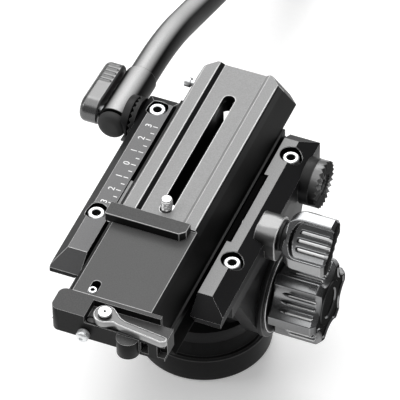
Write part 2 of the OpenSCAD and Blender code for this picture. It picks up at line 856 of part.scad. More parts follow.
module left_rail() {
  color(GREY) difference() {
    mirror([1, 0, 0]) on_deck() difference() {
      along_y(-rail_front - rail_nose, rail_rear) rail_outline(rail_chamfer, rail_chamfer);
      rail_end_cuts(rail_front);
    }
    rail_seats(-1);
  }
}

module right_rail() {
  notch_x = half_channel + notch_depth;
  color(GREY) difference() {
    on_deck() along_y(-right_rail_front - rail_nose, rail_rear) rail_outline(right_slope_w, right_slope_drop);
    on_deck() rail_end_cuts(right_rail_front);
    rail_seats(1);
    on_deck() translate([0, jaw_y - notch_len / 2, deck_z - over])
      cube([notch_x, notch_len, rail_rise + 2 * over]);
    on_deck() bar_x(lock_screw_r + pass_gap, 0, deck_w, lock_y, lock_z);
    on_deck() translate([rail_flat, lock_y - lock_w / 2 - fix_gap, deck_z - over])
      cube([deck_w, lock_w + 2 * fix_gap, rail_rise + 2 * over]);
  }
}

// Fixed pad in the left side of the channel, over the dovetail
module guide_pad() {
  inner = half_neck + dovetail_gap;
  outer = half_channel - fix_gap;
  pad_floor = foot_z + foot_h + slide_gap;
  color(GREY) on_deck() translate([-outer, -pad_front, pad_floor])
    cube([outer - inner, pad_len, rail_top - over - pad_floor]);
}

// Toothed rosette on the right, t thick, axis along X at y
module rosette(face_in, t, y) {
  tooth_w = tooth_h * sqrt(2);
  color(BLACK) on_deck() translate([face_in, y, rosette_z]) rotate([0, 90, 0]) difference() {
    union() {
      cylinder(r = rosette_r, h = t);
      intersection() {
        cylinder(r = rosette_r, h = t + tooth_h);
        for (i = [0:tooth_count - 1]) rotate(i * 360 / tooth_count) translate([rosette_step_r, 0, t])
          rotate([45, 0, 0]) translate([0, -tooth_w / 2, -tooth_w / 2]) cube([rosette_r, tooth_w, tooth_w]);
      }
    }
    translate([0, 0, -over]) cylinder(r = rosette_bore_r, h = t + 2 * over + tooth_h);
  }
}

module right_rosette() { rosette(ear_face, rosette_t, right_rosette_back); }
module left_rosette() { mirror([1, 0, 0]) rosette(rosette_in, left_rosette_t, rosette_y); }

module lock_housing() {
  tall = rail_rise + lock_over;
  color(SILVER) on_deck() difference() {
    union() {
      along_x(rail_flat + fix_gap, half_deck + fix_gap) intersection() {
        round_rect([lock_y - lock_w / 2, deck_z - lock_hang], [lock_w, tall + lock_hang], lock_corner_r);
        translate([lock_y - lock_w / 2, deck_z]) square([lock_w, tall]);
      }
      along_x(half_deck + fix_gap, lock_face)
        round_rect([lock_y - lock_w / 2, deck_z - lock_hang], [lock_w, tall + lock_hang], lock_corner_r);
    }
    bar_x(lock_screw_r + run_gap, 0, deck_w, lock_y, lock_z);
  }
}

// Jaw that presses on the dovetail from the right
module clamp_jaw() {
  toe_z = foot_z + (half_foot - jaw_out + dovetail_gap + slide_gap) * foot_h / foot_out;
  heel_z = toe_z + jaw_t * foot_h / foot_out;
  color(BRONZE) on_deck() difference() {
    translate([0, jaw_y, 0]) along_y(-notch_len / 2 + pass_gap, notch_len / 2 - pass_gap)
      polygon([[jaw_in, heel_z], [jaw_out, toe_z], [jaw_out, jaw_top], [jaw_in, jaw_top]]);
    bar_x(lock_screw_r + run_gap, lock_tip_x - jaw_travel - run_gap, deck_w, lock_y, lock_z);
  }
}

module lock_screw() {
  screw_end = knob_face + lock_hub_len + wing_len / 2;
  color(STEEL) on_deck() bar_x(lock_screw_r, lock_tip_x, screw_end, lock_y, lock_z);
}

// Wing with two round ends and a scoop on each face, seen along its axis
module wing_outline() {
  end_r = wing_t / 2;
  half = wing_span / 2 - end_r;
  scoop_r = (pow(half, 2) + pow(scoop_depth, 2)) / (2 * scoop_depth);
  difference() {
    belt([-half, 0], end_r, [half, 0], end_r - fix_gap);
    for (s = [-1, 1]) translate([0, s * (end_r - scoop_depth + scoop_r)]) circle(r = scoop_r);
  }
}

module lock_knob() {
  wing_x = knob_face + lock_hub_len;
  valley = wing_t / 2 - scoop_depth;
  color(SILVER) on_deck() translate([0, lock_y, lock_z]) difference() {
    union() {
      bar_x(lock_hub_r, knob_face, wing_x + over, 0, 0);
      rotate([lock_turn, 0, 0]) {
        along_x(wing_x, wing_x + wing_len) wing_outline();
        for (i = [-wing_ridges:wing_ridges], s = [-1, 1])
          bar_x(ridge_r, wing_x + ridge_pitch, wing_x + wing_len - ridge_r, i * ridge_pitch, s * valley);
      }
    }
    bar_x(lock_screw_r + fix_gap, 0, wing_x + wing_len / 2, 0, 0);
  }
}

// Lobed outline of the tilt knob
module tilt_knob_outline() {
  away = tilt_knob_r + lobe_scoop_r - lobe_scoop_depth;
  difference() {
    circle(r = tilt_knob_r);
    for (i = [0:lobe_count - 1]) rotate((i + 0.5) * 360 / lobe_count)
      translate([away, 0]) circle(r = lobe_scoop_r);
  }
}

module tilt_knob() {
  valley = tilt_knob_r - lobe_scoop_depth;
  ridge_x = tilt_knob_x + ridge_pitch;
  color(SILVER) difference() {
    union() {
      at_tilt() along_x(tilt_knob_x, tilt_knob_end) tilt_knob_outline();
      at_tilt() for (i = [0:lobe_count - 1], k = [-1:1])
        rotate([(i + 0.5) * 360 / lobe_count + k * ridge_turn, 0, 0])
          bar_x(ridge_r, ridge_x, tilt_knob_end - knob_bevel, valley + abs(k) * ridge_r / 3, 0);
    }
    bar_x(knob_insert_r + fix_gap, 0, stud_end, tilt_y, tilt_z);
  }
}

module tilt_knob_insert() {
  color(STEEL) difference() {
    bar_x(knob_insert_r, tilt_knob_x, stud_end, tilt_y, tilt_z);
    bar_x(shaft_r + run_gap, 0, 2 * deck_w, tilt_y, tilt_z);
  }
}

// Cross-section of the plate: top, sloped flanks, neck and dovetail foot
module plate_outline() {
  half = [
    [half_top - plate_bevel, plate_top], [half_top, plate_top - plate_bevel],
    [half_top + flank_out, flank_foot], [half_neck, flank_foot],
    [half_neck, foot_z + foot_h], [half_foot, foot_z]
  ];
  last = len(half) - 1;
  polygon([for (p = half) p, for (i = [last:-1:0]) [-half[i][0], half[i][1]]]);
}

// Round-ended slot along Y, in plan
module slot_plan(y0, y1, w) {
  belt([0, y0 + w / 2], w / 2, [0, y1 - w / 2], w / 2);
}

module quick_plate() {
  slot_front = -camera_screw_front - slot_w / 2 - over;
  pocket_more = (pocket_w - slot_w) / 2;
  corner_lean = atan(sqrt(2) * flank_out / flank_h);
  color(GREY) on_deck() difference() {
    along_y(-plate_front, plate_rear + flank_out) plate_outline();
    along_y(-step_front, plate_rear + deck_w) polygon([
      [-half_field, plate_top + over], [-half_field, plate_top], [field_slope - half_field, field_z],
      [half_field - field_slope, field_z], [half_field, plate_top], [half_field, plate_top + over]
    ]);
    along_x(-deck_w, deck_w) polygon([
      [plate_rear, plate_top], [plate_rear + flank_out, flank_foot], [plate_rear + deck_w, flank_foot],
      [plate_rear + deck_w, plate_top + over], [plate_rear, plate_top + over]
    ]);
    for (s = [-1, 1]) translate([s * (half_top - plate_corner / 2), plate_rear - plate_corner / 2, plate_top])
      rotate([0, 0, -45 * s]) rotate([corner_lean, 0, 0])
        translate([-deck_w / 2, 0, -deck_w]) cube([deck_w, deck_w, 2 * deck_w]);
    translate([-deck_w, -plate_front - over, front_top])
      cube([2 * deck_w, plate_front - step_front + over, step_drop + over]);
    translate([0, 0, deck_z - over]) linear_extrude(plate_rise + 2 * over)
      slot_plan(slot_front, slot_rear, slot_w);
    translate([0, 0, deck_z - over]) linear_extrude(pocket_z - deck_z + over)
      slot_plan(slot_front - pocket_more, slot_rear + pocket_more, pocket_w);
    translate([-pin_x, 0, pin_z - slide_gap]) linear_extrude(pin_len + over)
      slot_plan(pin_y - pin_r - slide_gap, pin_y + pin_travel + pin_r + slide_gap, 2 * (pin_r + slide_gap));
    stop_screw_bar(small_screw_r + fix_gap, small_screw_len + fix_gap);
    translate([-deck_w, foot_rear, deck_z - over]) cube([2 * deck_w, deck_w, flank_foot - deck_z + over]);
  }
}

// Bar along X from the stop screw's head, len deep into the plate's left flank
module stop_screw_bar(r, len) {
  bar_x(r, -stop_x - stop_neck_len, len - stop_x, stop_y, stop_z);
}

module stop_screw() {
  color(STEEL) on_deck() {
    stop_screw_bar(small_screw_r, small_screw_len);
    translate([-stop_x - stop_neck_len, 0, 0]) bar_x(small_head_r, -stop_head_len, 0, stop_y, stop_z);
  }
}

module stop_bar() {
  color(GREY) on_deck() translate([-bar_shift - bar_w / 2, bar_y, front_top]) linear_extrude(bar_h) polygon([
    [0, 0], [bar_w - bar_corner, 0], [bar_w, bar_corner], [bar_w, bar_d], [0, bar_d]
  ]);
}

module front_block() {
  half = block_w / 2;
  color(GREY) on_deck() difference() {
    union() {
      translate([0, 0, block_z]) linear_extrude(block_h) {
        round_rect([-half, block_y], [half, block_d], block_corner_r);
        translate([-half + block_corner_r, block_y]) square([block_w - block_corner_r, block_d]);
      }
      translate([front_boss_x, block_y, block_z]) cylinder(r = front_boss_r, h = block_h - ledge_drop - over);
      translate([half - over, block_y, block_z]) cube([catch_w + over, ledge_d, block_h - ledge_drop]);
    }
    translate([-ledge_left, block_y - deck_w, ledge_z]) cube([deck_w, deck_w + ledge_d, ledge_drop + over]);
    translate([0, pivot_y, ledge_z - small_screw_len]) cylinder(r = pivot_r + fix_gap, h = block_h);
    thumb_bar(small_screw_r + fix_gap, -over, small_screw_len);
    for (x = [half - catch_recess - catch_wall, half + catch_w - catch_recess])
      translate([x, block_y - over, block_z + catch_wall])
        cube([catch_recess, catch_recess + over, block_h - ledge_drop - 2 * catch_wall]);
  }
}

// Bar along Y at the thumb screw, from y0 to y1 behind the block's front
module thumb_bar(r, y0, y1) {
  translate([-thumb_x, block_y + y0, thumb_z]) rotate([-90, 0, 0]) cylinder(r = r, h = y1 - y0);
}

module thumb_screw() {
  color(STEEL) on_deck() {
    thumb_bar(small_screw_r, 0, small_screw_len);
    thumb_bar(thumb_r, -thumb_len, 0);
  }
}

module lever_outline() {
  hub = [0, pivot_y];
  knee = hub + [lever_knee, -lever_arm_r];
  tip = hub + [lever_len - lever_tip_r, -lever_tip_out];
  belt(hub, lever_hub_r, knee, lever_arm_r);
  belt(knee, lever_arm_r, tip, lever_tip_r);
}

module cam_lever() {
  color(SILVER) on_deck() difference() {
    translate([0, 0, lever_z]) linear_extrude(lever_t) lever_outline();
    translate([0, pivot_y, 0]) cylinder(r = pivot_r + run_gap, h = 2 * plate_top);
  }
}

module lever_screw() {
  color(STEEL) on_deck() translate([0, pivot_y, 0]) {
    translate([0, 0, ledge_z - small_screw_len])
      cylinder(r = pivot_r, h = small_screw_len + lever_t + 2 * slide_gap);
    translate([0, 0, lever_z + lever_t + slide_gap]) cylinder(r = pivot_head_r, h = pivot_head_h);
  }
}

module index_pin() {
  color(STEEL) on_deck() translate([-pin_x, pin_y, pin_z]) difference() {
    cylinder(r = pin_r, h = pin_len);
    translate([0, 0, pin_len / 2]) cylinder(r = pin_r / 2, h = pin_len);
  }
}

module screw_washer() {
  color(STEEL) on_deck() translate([0, -camera_screw_front, washer_z]) difference() {
    cylinder(r = camera_head_r, h = washer_t);
    translate([0, 0, -over]) cylinder(r = camera_neck_r + run_gap, h = washer_t + 2 * over);
  }
}

module camera_screw() {
  head_z = washer_z - run_gap - camera_head_h;
  color(STEEL) on_deck() translate([0, -camera_screw_front, 0]) difference() {
    union() {
      translate([0, 0, head_z]) cylinder(r = camera_head_r, h = camera_head_h);
      translate([0, 0, head_z]) cylinder(r = camera_neck_r, h = field_z + over - head_z);
      translate([0, 0, field_z]) cylinder(r = camera_thread_r, h = camera_screw_rise);
    }
    translate([-camera_head_r, -washer_t / 2, head_z - over])
      cube([2 * camera_head_r, washer_t, camera_head_h / 2 + over]);
  }
}

// Frame of the handle: local +Y runs out along the collar
module at_handle() {
  on_deck() translate([-collar_x, rosette_y, rosette_z]) rotate([-handle_slope, 0, 0]) children();
}

// Frame past the tube's bend
module at_bend_end() {
  translate([0, bend_start + bend_r * sin(bend_angle), bend_r * (cos(bend_angle) - 1)])
    rotate([-bend_angle, 0, 0]) children();
}

// Round bar along the handle's local Y
module bar_out(r, y0, y1) {
  translate([0, y0, 0]) rotate([-90, 0, 0]) cylinder(r = r, h = y1 - y0);
}

module handle_hub() {
  color(BLACK) difference() {
    on_deck() bar_x(rosette_r, -hub_x - handle_hub_t, -hub_x, rosette_y, rosette_z);
    at_handle() bar_out(collar_r + fix_gap, -deck_w, deck_w);
    on_deck() bar_x(rosette_bore_r, -2 * deck_w, 0, rosette_y, rosette_z);
  }
}

module handle_collar() {
  color(GREY) difference() {
    at_handle() bar_out(collar_r, -collar_front, collar_rear);
    at_handle() bar_out(tube_r + fix_gap, tube_start - fix_gap, collar_rear + over);
    at_handle() bar_out(tube_r, -collar_front - over, -collar_front + plug_gap);
    on_deck() bar_x(rosette_bore_r, -2 * deck_w, 0, rosette_y, rosette_z);
  }
}

module collar_plug() {
  color(RUBBER) at_handle() translate([0, -collar_front, 0]) rotate([90, 0, 0]) rotate_extrude() polygon([
    [0, -plug_gap + fix_gap], [tube_r - fix_gap, -plug_gap + fix_gap], [tube_r - fix_gap, plug_gap / 2],
    [collar_r - knob_bevel / 2, plug_gap / 2], [collar_r - knob_bevel / 2, plug_len - knob_bevel],
    [collar_r - 2 * knob_bevel, plug_len], [0, plug_len]
  ]);
}

module handle_tube() {
  color(GREY) at_handle() {
    bar_out(tube_r, tube_start, bend_start + bend_lap);
    translate([0, bend_start, -bend_r]) rotate([90, 0, 90]) rotate([0, 0, 90 - bend_angle])
      rotate_extrude(angle = bend_angle) translate([bend_r, 0]) circle(r = tube_r - bend_slim);
    at_bend_end() bar_out(tube_r, -bend_lap, tube_second + grip_seat);
  }
}

// Frame on the grip, y past its start, with +Z along it
module at_grip(y) {
  at_handle() at_bend_end() translate([0, tube_second + y, 0]) rotate([-90, 0, 0]) children();
}

module grip() {
  bore = tube_r + fix_gap;
  ring_pitch = (grip_len - 2 * grip_plain) / grip_rings;
  rings = [for (i = [0:grip_rings - 1], k = [-2, -1, 1, 2]) [
    grip_r - (abs(k) == 1 ? grip_ring_depth : 0),
    grip_plain + (i + 0.5) * ring_pitch + k * grip_ring_w / 4
  ]];
  color(RUBBER) at_grip(0) rotate_extrude() polygon([
    [bore, 0], [grip_r - knob_bevel, 0], [grip_r, knob_bevel], for (p = rings) p,
    [grip_r, grip_len - knob_bevel], [grip_r - knob_bevel, grip_len],
    [0, grip_len], [0, grip_seat + fix_gap], [bore, grip_seat + fix_gap]
  ]);
}

module grip_cap() {
  cap_r = grip_r - knob_bevel;
  color(BLACK) at_grip(grip_len) rotate_extrude() polygon([
    [0, 0], [cap_r, 0], [cap_r, grip_cap_len - knob_bevel],
    [cap_r - knob_bevel, grip_cap_len], [0, grip_cap_len]
  ]);
}

module handle_knob() {
  end_x = -handle_knob_x - handle_knob_len;
  lean = asin((handle_knob_r - handle_wing_r) / handle_wing_reach);
  color(SILVER) on_deck() translate([0, rosette_y, rosette_z]) difference() {
    union() {
      along_x(end_x, -handle_knob_x) belt([0, 0], handle_knob_r, [handle_wing_reach, 0], handle_wing_r);
      for (i = [0:handle_ridges - 1], s = [-1, 1]) bar_x(ridge_r, end_x + ridge_r, -handle_knob_x - ridge_r,
        handle_wing_reach - i * ridge_pitch + handle_wing_r * sin(lean),
        s * (handle_wing_r / cos(lean) + (i * ridge_pitch - handle_wing_r * sin(lean)) * tan(lean)));
    }
    bar_x(rosette_bore_r - run_gap + fix_gap, end_x + handle_knob_len / 2, 0, 0, 0);
  }
}

module handle_bolt() {
  bolt_head = -handle_knob_x - handle_knob_len / 2;
  bolt_tip = -bolt_in - over;
  color(STEEL) on_deck() bar_x(rosette_bore_r - run_gap, bolt_head, bolt_tip, rosette_y, rosette_z);
}

base_disc();
thread_insert();
base_screws();
pan_post();
thrust_ring();
post_nut();
pan_housing();
tilt_shaft();
drag_left();
drag_right();
spring_sleeve();
pan_knob();
brake_screw();
left_cheek();
right_cheek();
left_bush();
right_bush();
left_hub_cap();
right_hub_ring();
clamp_bed();
left_rail();
right_rail();
rail_screws();
guide_pad();
left_rosette();
right_rosette();
lock_housing();
clamp_jaw();
lock_knob();
lock_screw();
tilt_knob();
tilt_knob_insert();
quick_plate();
stop_bar();
front_block();
stop_screw();
thumb_screw();
lever_screw();
index_pin();
cam_lever();
screw_washer();
camera_screw();
handle_hub();
handle_collar();
collar_plug();
handle_tube();
grip();
grip_cap();
handle_knob();
handle_bolt();
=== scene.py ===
"""Looks of a fluid video head: turned, lofted and swept pieces round a fixed set of solids."""

import math

import bpy
import numpy as np
from mathutils import Matrix, Vector


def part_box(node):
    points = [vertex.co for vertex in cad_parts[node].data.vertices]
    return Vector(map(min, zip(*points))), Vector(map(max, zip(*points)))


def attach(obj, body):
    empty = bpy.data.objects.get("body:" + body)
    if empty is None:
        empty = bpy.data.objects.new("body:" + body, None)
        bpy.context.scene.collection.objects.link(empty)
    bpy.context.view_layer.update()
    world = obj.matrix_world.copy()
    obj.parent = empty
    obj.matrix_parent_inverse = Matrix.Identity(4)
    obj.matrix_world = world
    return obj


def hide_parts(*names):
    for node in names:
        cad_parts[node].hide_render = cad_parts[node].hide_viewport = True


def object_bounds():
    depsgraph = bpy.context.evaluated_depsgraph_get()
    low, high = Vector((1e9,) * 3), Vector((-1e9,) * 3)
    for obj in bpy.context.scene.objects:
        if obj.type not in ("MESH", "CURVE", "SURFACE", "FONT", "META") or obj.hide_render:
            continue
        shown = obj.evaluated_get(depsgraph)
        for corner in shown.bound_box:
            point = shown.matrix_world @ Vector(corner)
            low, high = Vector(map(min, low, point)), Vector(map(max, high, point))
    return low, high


bl_info = {
    "name": "Fluid video head looks",
    "version": (1, 0, 0),
    "blender": (4, 5, 0),
    "location": "3D View > Sidebar > Video head",
    "description": "Knobs, handle, screws, scale and finishes of a fluid video head",
    "category": "Add Mesh",
}

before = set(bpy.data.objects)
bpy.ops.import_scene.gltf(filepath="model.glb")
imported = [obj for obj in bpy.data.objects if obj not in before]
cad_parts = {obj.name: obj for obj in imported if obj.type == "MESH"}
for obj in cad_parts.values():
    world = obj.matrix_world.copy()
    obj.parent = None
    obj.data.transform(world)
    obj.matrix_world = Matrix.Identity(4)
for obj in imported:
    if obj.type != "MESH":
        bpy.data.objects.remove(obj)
CAD_BOX = [list(corner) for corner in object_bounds()]
MM = 0.001


def box_mm(node):
    """Lowest and highest corner of a node at rest, in millimetres, as two arrays."""
    low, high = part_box(node)
    return np.array(low) / MM, np.array(high) / MM


# Geometry helpers


def smooth_step(t):
    """Cubic step 3t^2 - 2t^3 from 0 to 1, flat outside."""
    t = np.clip(t, 0.0, 1.0)
    return t * t * (3.0 - 2.0 * t)


def soften_loop(points, passes):
    """Closed outline with round corners: each pass takes the mean (a + 2b + c) / 4 of neighbours."""
    for _ in range(passes):
        points = 0.25 * np.roll(points, 1, 0) + 0.5 * points + 0.25 * np.roll(points, -1, 0)
    return points


def even_loop(corners, count):
    """Closed polygon sampled at count places with equal steps along its length."""
    ring = np.vstack([corners, corners[:1]])
    run = np.concatenate([[0.0], np.cumsum(np.linalg.norm(np.diff(ring, axis=0), axis=1))])
    at = np.linspace(0.0, run[-1], count, endpoint=False)
    return np.stack([np.interp(at, run, ring[:, k]) for k in range(2)], 1)


def loop_normals(points):
    """Outward unit normals of a counter-clockwise outline, from the step between its neighbours."""
    step = np.roll(points, -1, 0) - np.roll(points, 1, 0)
    normal = np.stack([step[:, 1], -step[:, 0]], 1)
    return normal / np.maximum(np.linalg.norm(normal, axis=1, keepdims=True), 1e-9)


def inset_rings(outline, stations):
    """Rings (k, m, 3) of an outline: station (h, d) is the outline moved d inwards at height h."""
    normal = loop_normals(outline)
    rings = [np.column_stack([outline - normal * d, np.full(len(outline), h)]) for h, d in stations]
    return np.array(rings)


def turned_rings(profile, count):
    """Surface of revolution (k, m, 3): (r cos a, r sin a, h) for each profile point (r, h)."""
    a = np.linspace(0.0, 2.0 * np.pi, count, endpoint=False)
    r, h = np.array(profile, float).T
    return np.stack([np.outer(r, np.cos(a)), np.outer(r, np.sin(a)), np.outer(h, np.ones(count))], 2)


def round_edges(profile, radius, steps=4):
    """Profile whose inner corners are arcs: each corner becomes a quadratic curve of at most that radius."""
    p = np.array(profile, float)
    before, corner, after = p[:-2], p[1:-1], p[2:]
    back, ahead = before - corner, after - corner
    lb = np.linalg.norm(back, axis=1, keepdims=True)
    la = np.linalg.norm(ahead, axis=1, keepdims=True)
    cut = np.minimum(radius, 0.45 * np.minimum(lb, la))
    start, end = corner + back / lb * cut, corner + ahead / la * cut
    t = np.linspace(0.0, 1.0, steps + 1)[None, :, None]
    curve = (1 - t) ** 2 * start[:, None] + 2 * t * (1 - t) * corner[:, None] + t**2 * end[:, None]
    return np.vstack([p[:1], curve.reshape(-1, 2), p[-1:]])


def to_x(rings, y, z):
    """Local (u, v, h) laid with h along +X, u along +Y and v along +Z, on the line through (y, z)."""
    return np.stack([rings[..., 2], rings[..., 0] + y, rings[..., 1] + z], -1)


def to_y(rings, x, z):
    """Local (u, v, h) laid with h along +Y, u along +Z and v along +X, on the line through (x, z)."""
    return np.stack([rings[..., 1] + x, rings[..., 2], rings[..., 0] + z], -1)


def skin(rings, capped=True):
    """Vertices and faces of a loft: quads between closed rings, and a fan to the middle of each end."""
    k, m, _ = rings.shape
    i, j = np.meshgrid(np.arange(k - 1), np.arange(m), indexing="ij")
    n = (j + 1) % m
    quads = np.stack([i * m + j, i * m + n, (i + 1) * m + n, (i + 1) * m + j], -1).reshape(-1, 4)
    points = rings.reshape(-1, 3)
    fans = []
    if capped:
        points = np.vstack([points, rings[0].mean(0), rings[-1].mean(0)])
        a = np.arange(m)
        b = (a + 1) % m
        last = (k - 1) * m
        fans = np.vstack([
            np.column_stack([b, a, np.full(m, k * m)]),
            np.column_stack([last + a, last + b, np.full(m, k * m + 1)]),
        ])
        six = np.vstack([points[fans[:, c]] for c in range(3)]).reshape(3, -1, 3)
        volume = np.einsum("ij,ij->i", six[0], np.cross(six[1], six[2])).sum()
    else:
        volume = 0.0
    q = points[quads]
    volume += np.einsum("ij,ij->i", q[:, 0], np.cross(q[:, 1], q[:, 2])).sum()
    volume += np.einsum("ij,ij->i", q[:, 0], np.cross(q[:, 2], q[:, 3])).sum()
    if volume < 0:
        quads = quads[:, ::-1]
        fans = fans[:, ::-1] if capped else fans
    return points, quads, fans


def join_skins(skins):
    """Several (points, quads, fans) as one, with the indices shifted."""
    shift = np.cumsum([0] + [len(s[0]) for s in skins[:-1]])
    points = np.vstack([s[0] for s in skins])
    quads = np.vstack([s[1] + d for s, d in zip(skins, shift)])
    fans = [s[2] + d for s, d in zip(skins, shift) if len(s[2])]
    return points, quads, np.vstack(fans) if fans else []


def put(name, surface, body, material, stands_for=(), crease=32.0, highlight_quads=None):
    """Makes a piece from (points in mm, quads, triangles), gives it its finish and lets it ride on a body.
    The last argument marks the quads, ring by ring, that get a painted highlight."""
    points, quads, fans = surface
    mesh = bpy.data.meshes.new(name)
    faces = quads.tolist() + (fans.tolist() if len(fans) else [])
    mesh.from_pydata((points * MM).tolist(), [], faces)
    mesh.validate()
    mesh.polygons.foreach_set("use_smooth", np.ones(len(mesh.polygons), bool))
    mesh.set_sharp_from_angle(angle=math.radians(crease))
    mesh.materials.append(bpy.data.materials[material])
    if highlight_quads is not None:
        mesh.materials.append(bpy.data.materials["crest_highlight"])
        finish = np.zeros(len(mesh.polygons), np.int32)
        finish[:highlight_quads.size] = highlight_quads.ravel()
        mesh.polygons.foreach_set("material_index", finish)
    piece = bpy.data.objects.new(name, mesh)
    bpy.context.scene.collection.objects.link(piece)
    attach(piece, body)
    if stands_for:
        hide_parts(*stands_for)


# Finishes

BLAST_GRAIN = 1500.0  # scale of the blasted grain
BROAD_CLOUD = 28.0  # scale of the clouds in a blasted finish
CLOUD_TONE = (0.94, 1.05)  # tone of those clouds, from dark to light
NOISE_SPAN = (0.3, 0.7)  # range that the noise textures mostly fill
GRAIN_DEPTH = 0.0001  # height of grain and brushed lines, in metres
PORE_DEPTH = 0.0002  # depth of moulded pores, in metres
HALF_FADE = 0.0005  # half the width of a change of tone by place, in metres
GROOVE_SPAN = (0.4, 0.49)  # pointiness of the grooves that get painted shade, from deep to nearly flat
GROOVE_SHADE = 0.2  # painted shade in the deepest grooves
RIDGE_SPAN = (0.52, 0.6)  # pointiness of ridges, from nearly flat to sharp
WORN_TONE = 0.6  # grey of worn ridges
END_SHADE_SPAN = (0.55, 0.85)  # share of +X in the normal, from a flank to an end face that gets painted shade


def add_node(tree, kind, **values):
    """New shader node of that kind, with sockets or settings set by name."""
    made = tree.nodes.new(kind)
    for key, value in values.items():
        if key in made.inputs:
            made.inputs[key].default_value = value
        else:
            setattr(made, key, value)
    return made


def span(tree, source, low, high, to_low, to_high, smooth=False):
    """Map Range node from low..high to to_low..to_high, clamped, on a value socket."""
    made = add_node(tree, "ShaderNodeMapRange", interpolation_type="SMOOTHSTEP" if smooth else "LINEAR")
    for key, value in (("From Min", low), ("From Max", high), ("To Min", to_low), ("To Max", to_high)):
        made.inputs[key].default_value = value
    tree.links.new(source, made.inputs["Value"])
    return made.outputs["Result"]


def blend(tree, mode, factor, a, b):
    """Colour mix of two sockets or colours; factor is a socket or a number."""
    made = add_node(tree, "ShaderNodeMix", data_type="RGBA", blend_type=mode)
    for socket, value in ((made.inputs[0], factor), (made.inputs[6], a), (made.inputs[7], b)):
        if isinstance(value, bpy.types.NodeSocket):
            tree.links.new(value, socket)
        else:
            socket.default_value = value
    return made.outputs[2]


def grey(value):
    """Neutral colour of that linear value."""
    return (value, value, value, 1.0)


def start_finish(name):
    """New node material; returns it with its tree, its surface shader and its coordinates."""
    made = bpy.data.materials.new(name)
    made.use_nodes = True
    tree = made.node_tree
    return made, tree, tree.nodes["Principled BSDF"], add_node(tree, "ShaderNodeTexCoord")


def add_relief(tree, shader, height, strength, distance):
    """Bump node from a height socket to the shader's normal."""
    relief = add_node(tree, "ShaderNodeBump", Strength=strength, Distance=distance)
    tree.links.new(height, relief.inputs["Height"])
    tree.links.new(relief.outputs["Normal"], shader.inputs["Normal"])


def blasted_finish(name, top, side, knee, rough, metal, fleck=0.1, wear_and_groove_shade=0.25, bump=0.12, gloss=0.3,
                   front=None, sky=(0, 0, 1), end_face_shade=1.0, depth=None):
    """Bead-blasted, anodised metal, finely speckled, with painted light where it faces up and painted shade
    on its flanks; where wear is set, its ridges are worn bright and its grooves get painted shade. The tone
    goes from side to top as the share of the piece's own normal along sky, the side the painted light comes
    from, passes the two values of knee; ahead of the y of front it is multiplied by the share of front, below
    the z of depth by the share of depth as painted shade, and on faces towards +X by a painted shade, which also dims
    their mirror tint."""
    _, tree, shader, coord = start_finish(name)
    # Painted light and shade by facing: light as the normal turns towards sky, dark on the flanks
    along = add_node(tree, "ShaderNodeVectorMath", operation="DOT_PRODUCT")
    tree.links.new(coord.outputs["Normal"], along.inputs[0])
    along.inputs[1].default_value = sky
    tone = blend(tree, "MIX", span(tree, along.outputs["Value"], *knee, 0.0, 1.0, True), side, top)
    place = add_node(tree, "ShaderNodeSeparateXYZ")
    tree.links.new(coord.outputs["Object"], place.inputs[0])
    # front dims the part ahead of a y; depth paints shade on the levels below a height
    for axis, fade in (("Y", front), ("Z", depth)):
        if fade:
            edge, share = fade
            dim = span(tree, place.outputs[axis], edge - HALF_FADE, edge + HALF_FADE, share, 1.0)
            tone = blend(tree, "MULTIPLY", 1.0, tone, dim)
    fine = add_node(tree, "ShaderNodeTexNoise", Scale=BLAST_GRAIN, Detail=2.0, Roughness=0.6)
    broad = add_node(tree, "ShaderNodeTexNoise", Scale=BROAD_CLOUD, Detail=3.0, Roughness=0.5)
    for noise in (fine, broad):
        tree.links.new(coord.outputs["Object"], noise.inputs["Vector"])
    speck = span(tree, fine.outputs["Fac"], *NOISE_SPAN, 1.0 - fleck, 1.0 + fleck)
    cloud = span(tree, broad.outputs["Fac"], *NOISE_SPAN, *CLOUD_TONE)
    tone = blend(tree, "MULTIPLY", 1.0, blend(tree, "MULTIPLY", 1.0, tone, speck), cloud)
    # Painted shade in the grooves and worn, lighter ridges, both found by pointiness
    if wear_and_groove_shade:
        shape = add_node(tree, "ShaderNodeNewGeometry").outputs["Pointiness"]
        tone = blend(tree, "MULTIPLY", 1.0, tone, span(tree, shape, *GROOVE_SPAN, GROOVE_SHADE, 1.0))
        tone = blend(tree, "MIX", span(tree, shape, *RIDGE_SPAN, 0.0, wear_and_groove_shade), tone, grey(WORN_TONE))
    # Painted shade on faces towards +X, on their colour and on their mirror tint
    if end_face_shade < 1.0:
        parts = add_node(tree, "ShaderNodeSeparateXYZ")
        tree.links.new(coord.outputs["Normal"], parts.inputs[0])
        end = span(tree, parts.outputs["X"], *END_SHADE_SPAN, 1.0, end_face_shade)
        tree.links.new(end, shader.inputs["Specular Tint"])
        tone = blend(tree, "MULTIPLY", 1.0, tone, end)
    tree.links.new(tone, shader.inputs["Base Color"])
    patchy = span(tree, broad.outputs["Fac"], *NOISE_SPAN, rough - 0.05, rough + 0.05)
    tree.links.new(patchy, shader.inputs["Roughness"])
    add_relief(tree, shader, fine.outputs["Fac"], bump, GRAIN_DEPTH)
    shader.inputs["Metallic"].default_value = metal
    shader.inputs["Specular IOR Level"].default_value = gloss


